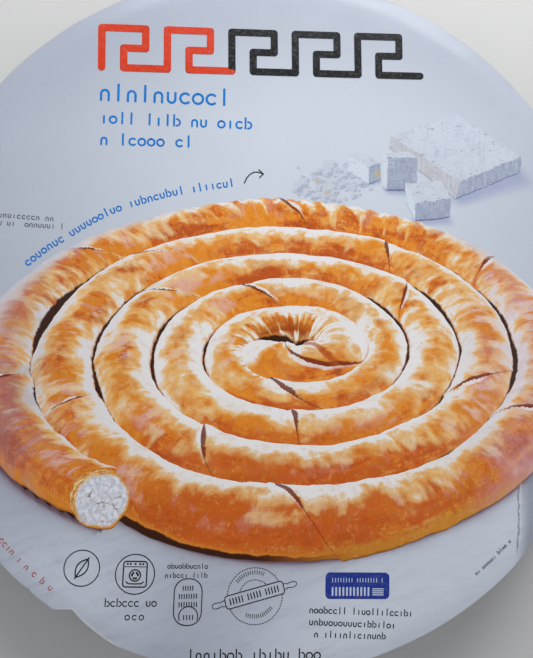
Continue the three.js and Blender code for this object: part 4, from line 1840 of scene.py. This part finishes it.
def floor_material():
    """The pale, slightly cloudy floor."""
    material, tree, shader = new_material("pale_floor")
    where = object_place(tree)
    cloud = noise(tree, where, 6.0, 3.0)
    plug(tree, shader.inputs["Base Color"], blend(tree, cloud, FLOOR_DARK, FLOOR_PALE))
    shader.inputs["Roughness"].default_value = 0.8
    return material


def area_light(name, place, target, size, energy, colour):
    """A soft rectangular light that looks at a target."""
    lamp = bpy.data.lights.new(name, "AREA")
    lamp.shape = "RECTANGLE"
    lamp.size, lamp.size_y = size
    lamp.energy = energy
    lamp.color = colour
    made = bpy.data.objects.new(name, lamp)
    made.location = place
    made.rotation_euler = (Vector(target) - Vector(place)).to_track_quat("-Z", "Y").to_euler()
    bpy.context.scene.collection.objects.link(made)


class PIE_PACK_OT_stage(bpy.types.Operator):
    """Make the floor, the lights and the camera"""
    bl_idname = "pie_pack.stage"
    bl_label = "Stage"

    def execute(self, context):
        settings = context.scene.pie_pack_stage
        half = settings.floor_size / 2
        corners = [(-half, -half, 0), (half, -half, 0), (half, half, 0), (-half, half, 0)]
        floor = mesh_piece("floor", corners, [[0, 1, 2, 3]], floor_material())
        for name, place, spot, size, energy, tint in LIGHTS:
            area_light(name, place, (*spot, PACK_HEIGHT), size, getattr(settings, energy), tint)
        world = bpy.data.worlds.new("soft_room")
        world.use_nodes = True
        back = world.node_tree.nodes["Background"]
        back.inputs["Color"].default_value = (*ROOM_WHITE, 1)
        back.inputs["Strength"].default_value = settings.room_light
        context.scene.world = world
        context.scene.view_settings.view_transform = "Standard"

        camera = bpy.data.cameras.new("photo_view")
        camera.sensor_fit = "VERTICAL"
        camera.sensor_height = SENSOR_HEIGHT
        camera.lens = FOCAL_PIXELS / IMAGE_HEIGHT * SENSOR_HEIGHT
        camera.clip_start = 0.01
        made = bpy.data.objects.new("photo_view", camera)
        made.location = CAMERA_PLACE
        made.rotation_euler = CAMERA_TURN
        context.scene.collection.objects.link(made)
        context.scene.camera = made
        return {"FINISHED"}


# ---------------------------------------------------------------- settings and panel

def length(name, description, default):
    """A setting in metres."""
    return FloatProperty(name=name, description=description, default=default, unit="LENGTH",
                         precision=5)


def power(name, description, default):
    """A setting in watts."""
    return FloatProperty(name=name, description=description, default=default, unit="POWER")


def hue(name, description, *levels):
    """A colour setting, from 8-bit display levels."""
    return FloatVectorProperty(name=name, description=description, default=rgb(*levels),
                               subtype="COLOR", min=0, max=1)


class PiePackCard(bpy.types.PropertyGroup):
    sectors: IntProperty(name="Sectors", description="Steps round the card", default=720, min=90)
    wave_height: length("Wave Height", "Height of the card's gentle waves", 0.1 * MM)
    wave_length: length("Wave Length", "Length of the card's gentle waves", 75 * MM)
    edge_ripple: length("Edge Ripple", "Unevenness of the free margin", 0.35 * MM)
    crease_crumple: length("Crease Crumple", "Crumpling along the crease", 0.35 * MM)


class PiePackTray(bpy.types.PropertyGroup):
    pleats: IntProperty(name="Pleats", description="Pleats round the wall", default=56, min=12)
    pleat_depth: length("Pleat Depth", "Depth of the pleats", 1.2 * MM)
    crinkle: length("Crinkle", "Unevenness of the foil", 0.2 * MM)


class PiePackRoll(bpy.types.PropertyGroup):
    start_radius: length("Start Radius", "Radius of the coil at the cut end", 122.7 * MM)
    end_radius: length("End Radius", "Radius of the coil at its inner end", 8 * MM)
    pitch: length("Pitch", "Distance between turns at the cut end", 26.28 * MM)
    narrowing: length("Narrowing", "How much closer each turn lies than the last", 1.73 * MM)
    start_angle: FloatProperty(name="Start Angle", description="Azimuth of the cut end",
                               default=radians(-126), subtype="ANGLE")
    tuck: length("Tuck", "How far the cut end is tucked in", 13 * MM)
    fold_depth: length("Fold Depth", "Depth of the broad lumps and folds", 1.2 * MM)
    wrinkle_depth: length("Wrinkle Depth", "Depth of the wrinkles across the roll", 0.4 * MM)


class PiePackPrint(bpy.types.PropertyGroup):
    ground: hue("Ground", "The print's pale ground", 218, 225, 235)
    # The ground darkened towards the edges: partly print, partly painted shade where the light
    # falls off
    ground_edge_shade: hue("Ground Edge", "The ground towards the print's edges", 182, 188, 201)
    butter: hue("Butter", "Pastry that is baked least", 255, 208, 130)
    golden: hue("Golden", "Baked pastry", 246, 150, 42)
    toasted: hue("Toasted", "Pastry low on its sides", 218, 86, 20)
    browned: hue("Browned", "Browned patches of pastry", 184, 70, 22)
    cream: hue("Cream", "Pastry that faces the light", 254, 251, 249)
    warm_red: hue("Warm Red", "The band's warm part", 222, 60, 22)
    black: hue("Black", "Dark ink", 14, 14, 17)
    blue: hue("Blue", "Blue ink", 4, 124, 208)
    grey: hue("Grey", "Small grey rows", 96, 100, 112)
    red: hue("Red", "Red ink", 190, 70, 66)
    navy: hue("Navy", "The badge", 34, 58, 150)


class PiePackStage(bpy.types.PropertyGroup):
    floor_size: length("Floor Size", "Width of the floor", 6.0)
    key_power: power("Key Power", "Power of the main light", 3.1)
    fill_power: power("Fill Power", "Power of the fill light", 1.95)
    glow_power: power("Glow Power", "Power of the lights that give the soft glare", 0.15)
    room_light: FloatProperty(name="Room Light", description="Light from all round", default=0.33)


class PIE_PACK_PT_panel(bpy.types.Panel):
    """Lists the pack's settings and its operators"""
    bl_idname = "PIE_PACK_PT_panel"
    bl_label = "Pie Pack"
    bl_space_type = "VIEW_3D"
    bl_region_type = "UI"
    bl_category = "Pie Pack"

    def draw(self, context):
        for name, settings in SETTINGS.items():
            column = self.layout.column(align=True)
            group = getattr(context.scene, name)
            for prop in settings.__annotations__:
                column.prop(group, prop)
        for operator in OPERATORS:
            self.layout.operator(operator.bl_idname)


SETTINGS = {
    "pie_pack_card": PiePackCard, "pie_pack_tray": PiePackTray, "pie_pack_roll": PiePackRoll,
    "pie_pack_print": PiePackPrint, "pie_pack_stage": PiePackStage,
}
OPERATORS = (
    PIE_PACK_OT_card, PIE_PACK_OT_tray, PIE_PACK_OT_printed_pie, PIE_PACK_OT_printed_cheese,
    PIE_PACK_OT_printed_band, PIE_PACK_OT_printed_rows, PIE_PACK_OT_printed_signs,
    PIE_PACK_OT_stage,
)


def register():
    for kind in (*SETTINGS.values(), *OPERATORS, PIE_PACK_PT_panel):
        bpy.utils.register_class(kind)
    for name, settings in SETTINGS.items():
        setattr(bpy.types.Scene, name, PointerProperty(type=settings))


def unregister():
    for name in SETTINGS:
        delattr(bpy.types.Scene, name)
    for kind in (PIE_PACK_PT_panel, *reversed(OPERATORS), *SETTINGS.values()):
        bpy.utils.unregister_class(kind)


def main():
    register()
    bpy.ops.pie_pack.card()
    bpy.ops.pie_pack.tray()
    bpy.ops.pie_pack.printed_pie()
    bpy.ops.pie_pack.printed_cheese()
    bpy.ops.pie_pack.printed_band()
    bpy.ops.pie_pack.printed_rows()
    bpy.ops.pie_pack.printed_signs()
    bpy.ops.pie_pack.stage()


if __name__ == "__main__":
    main()
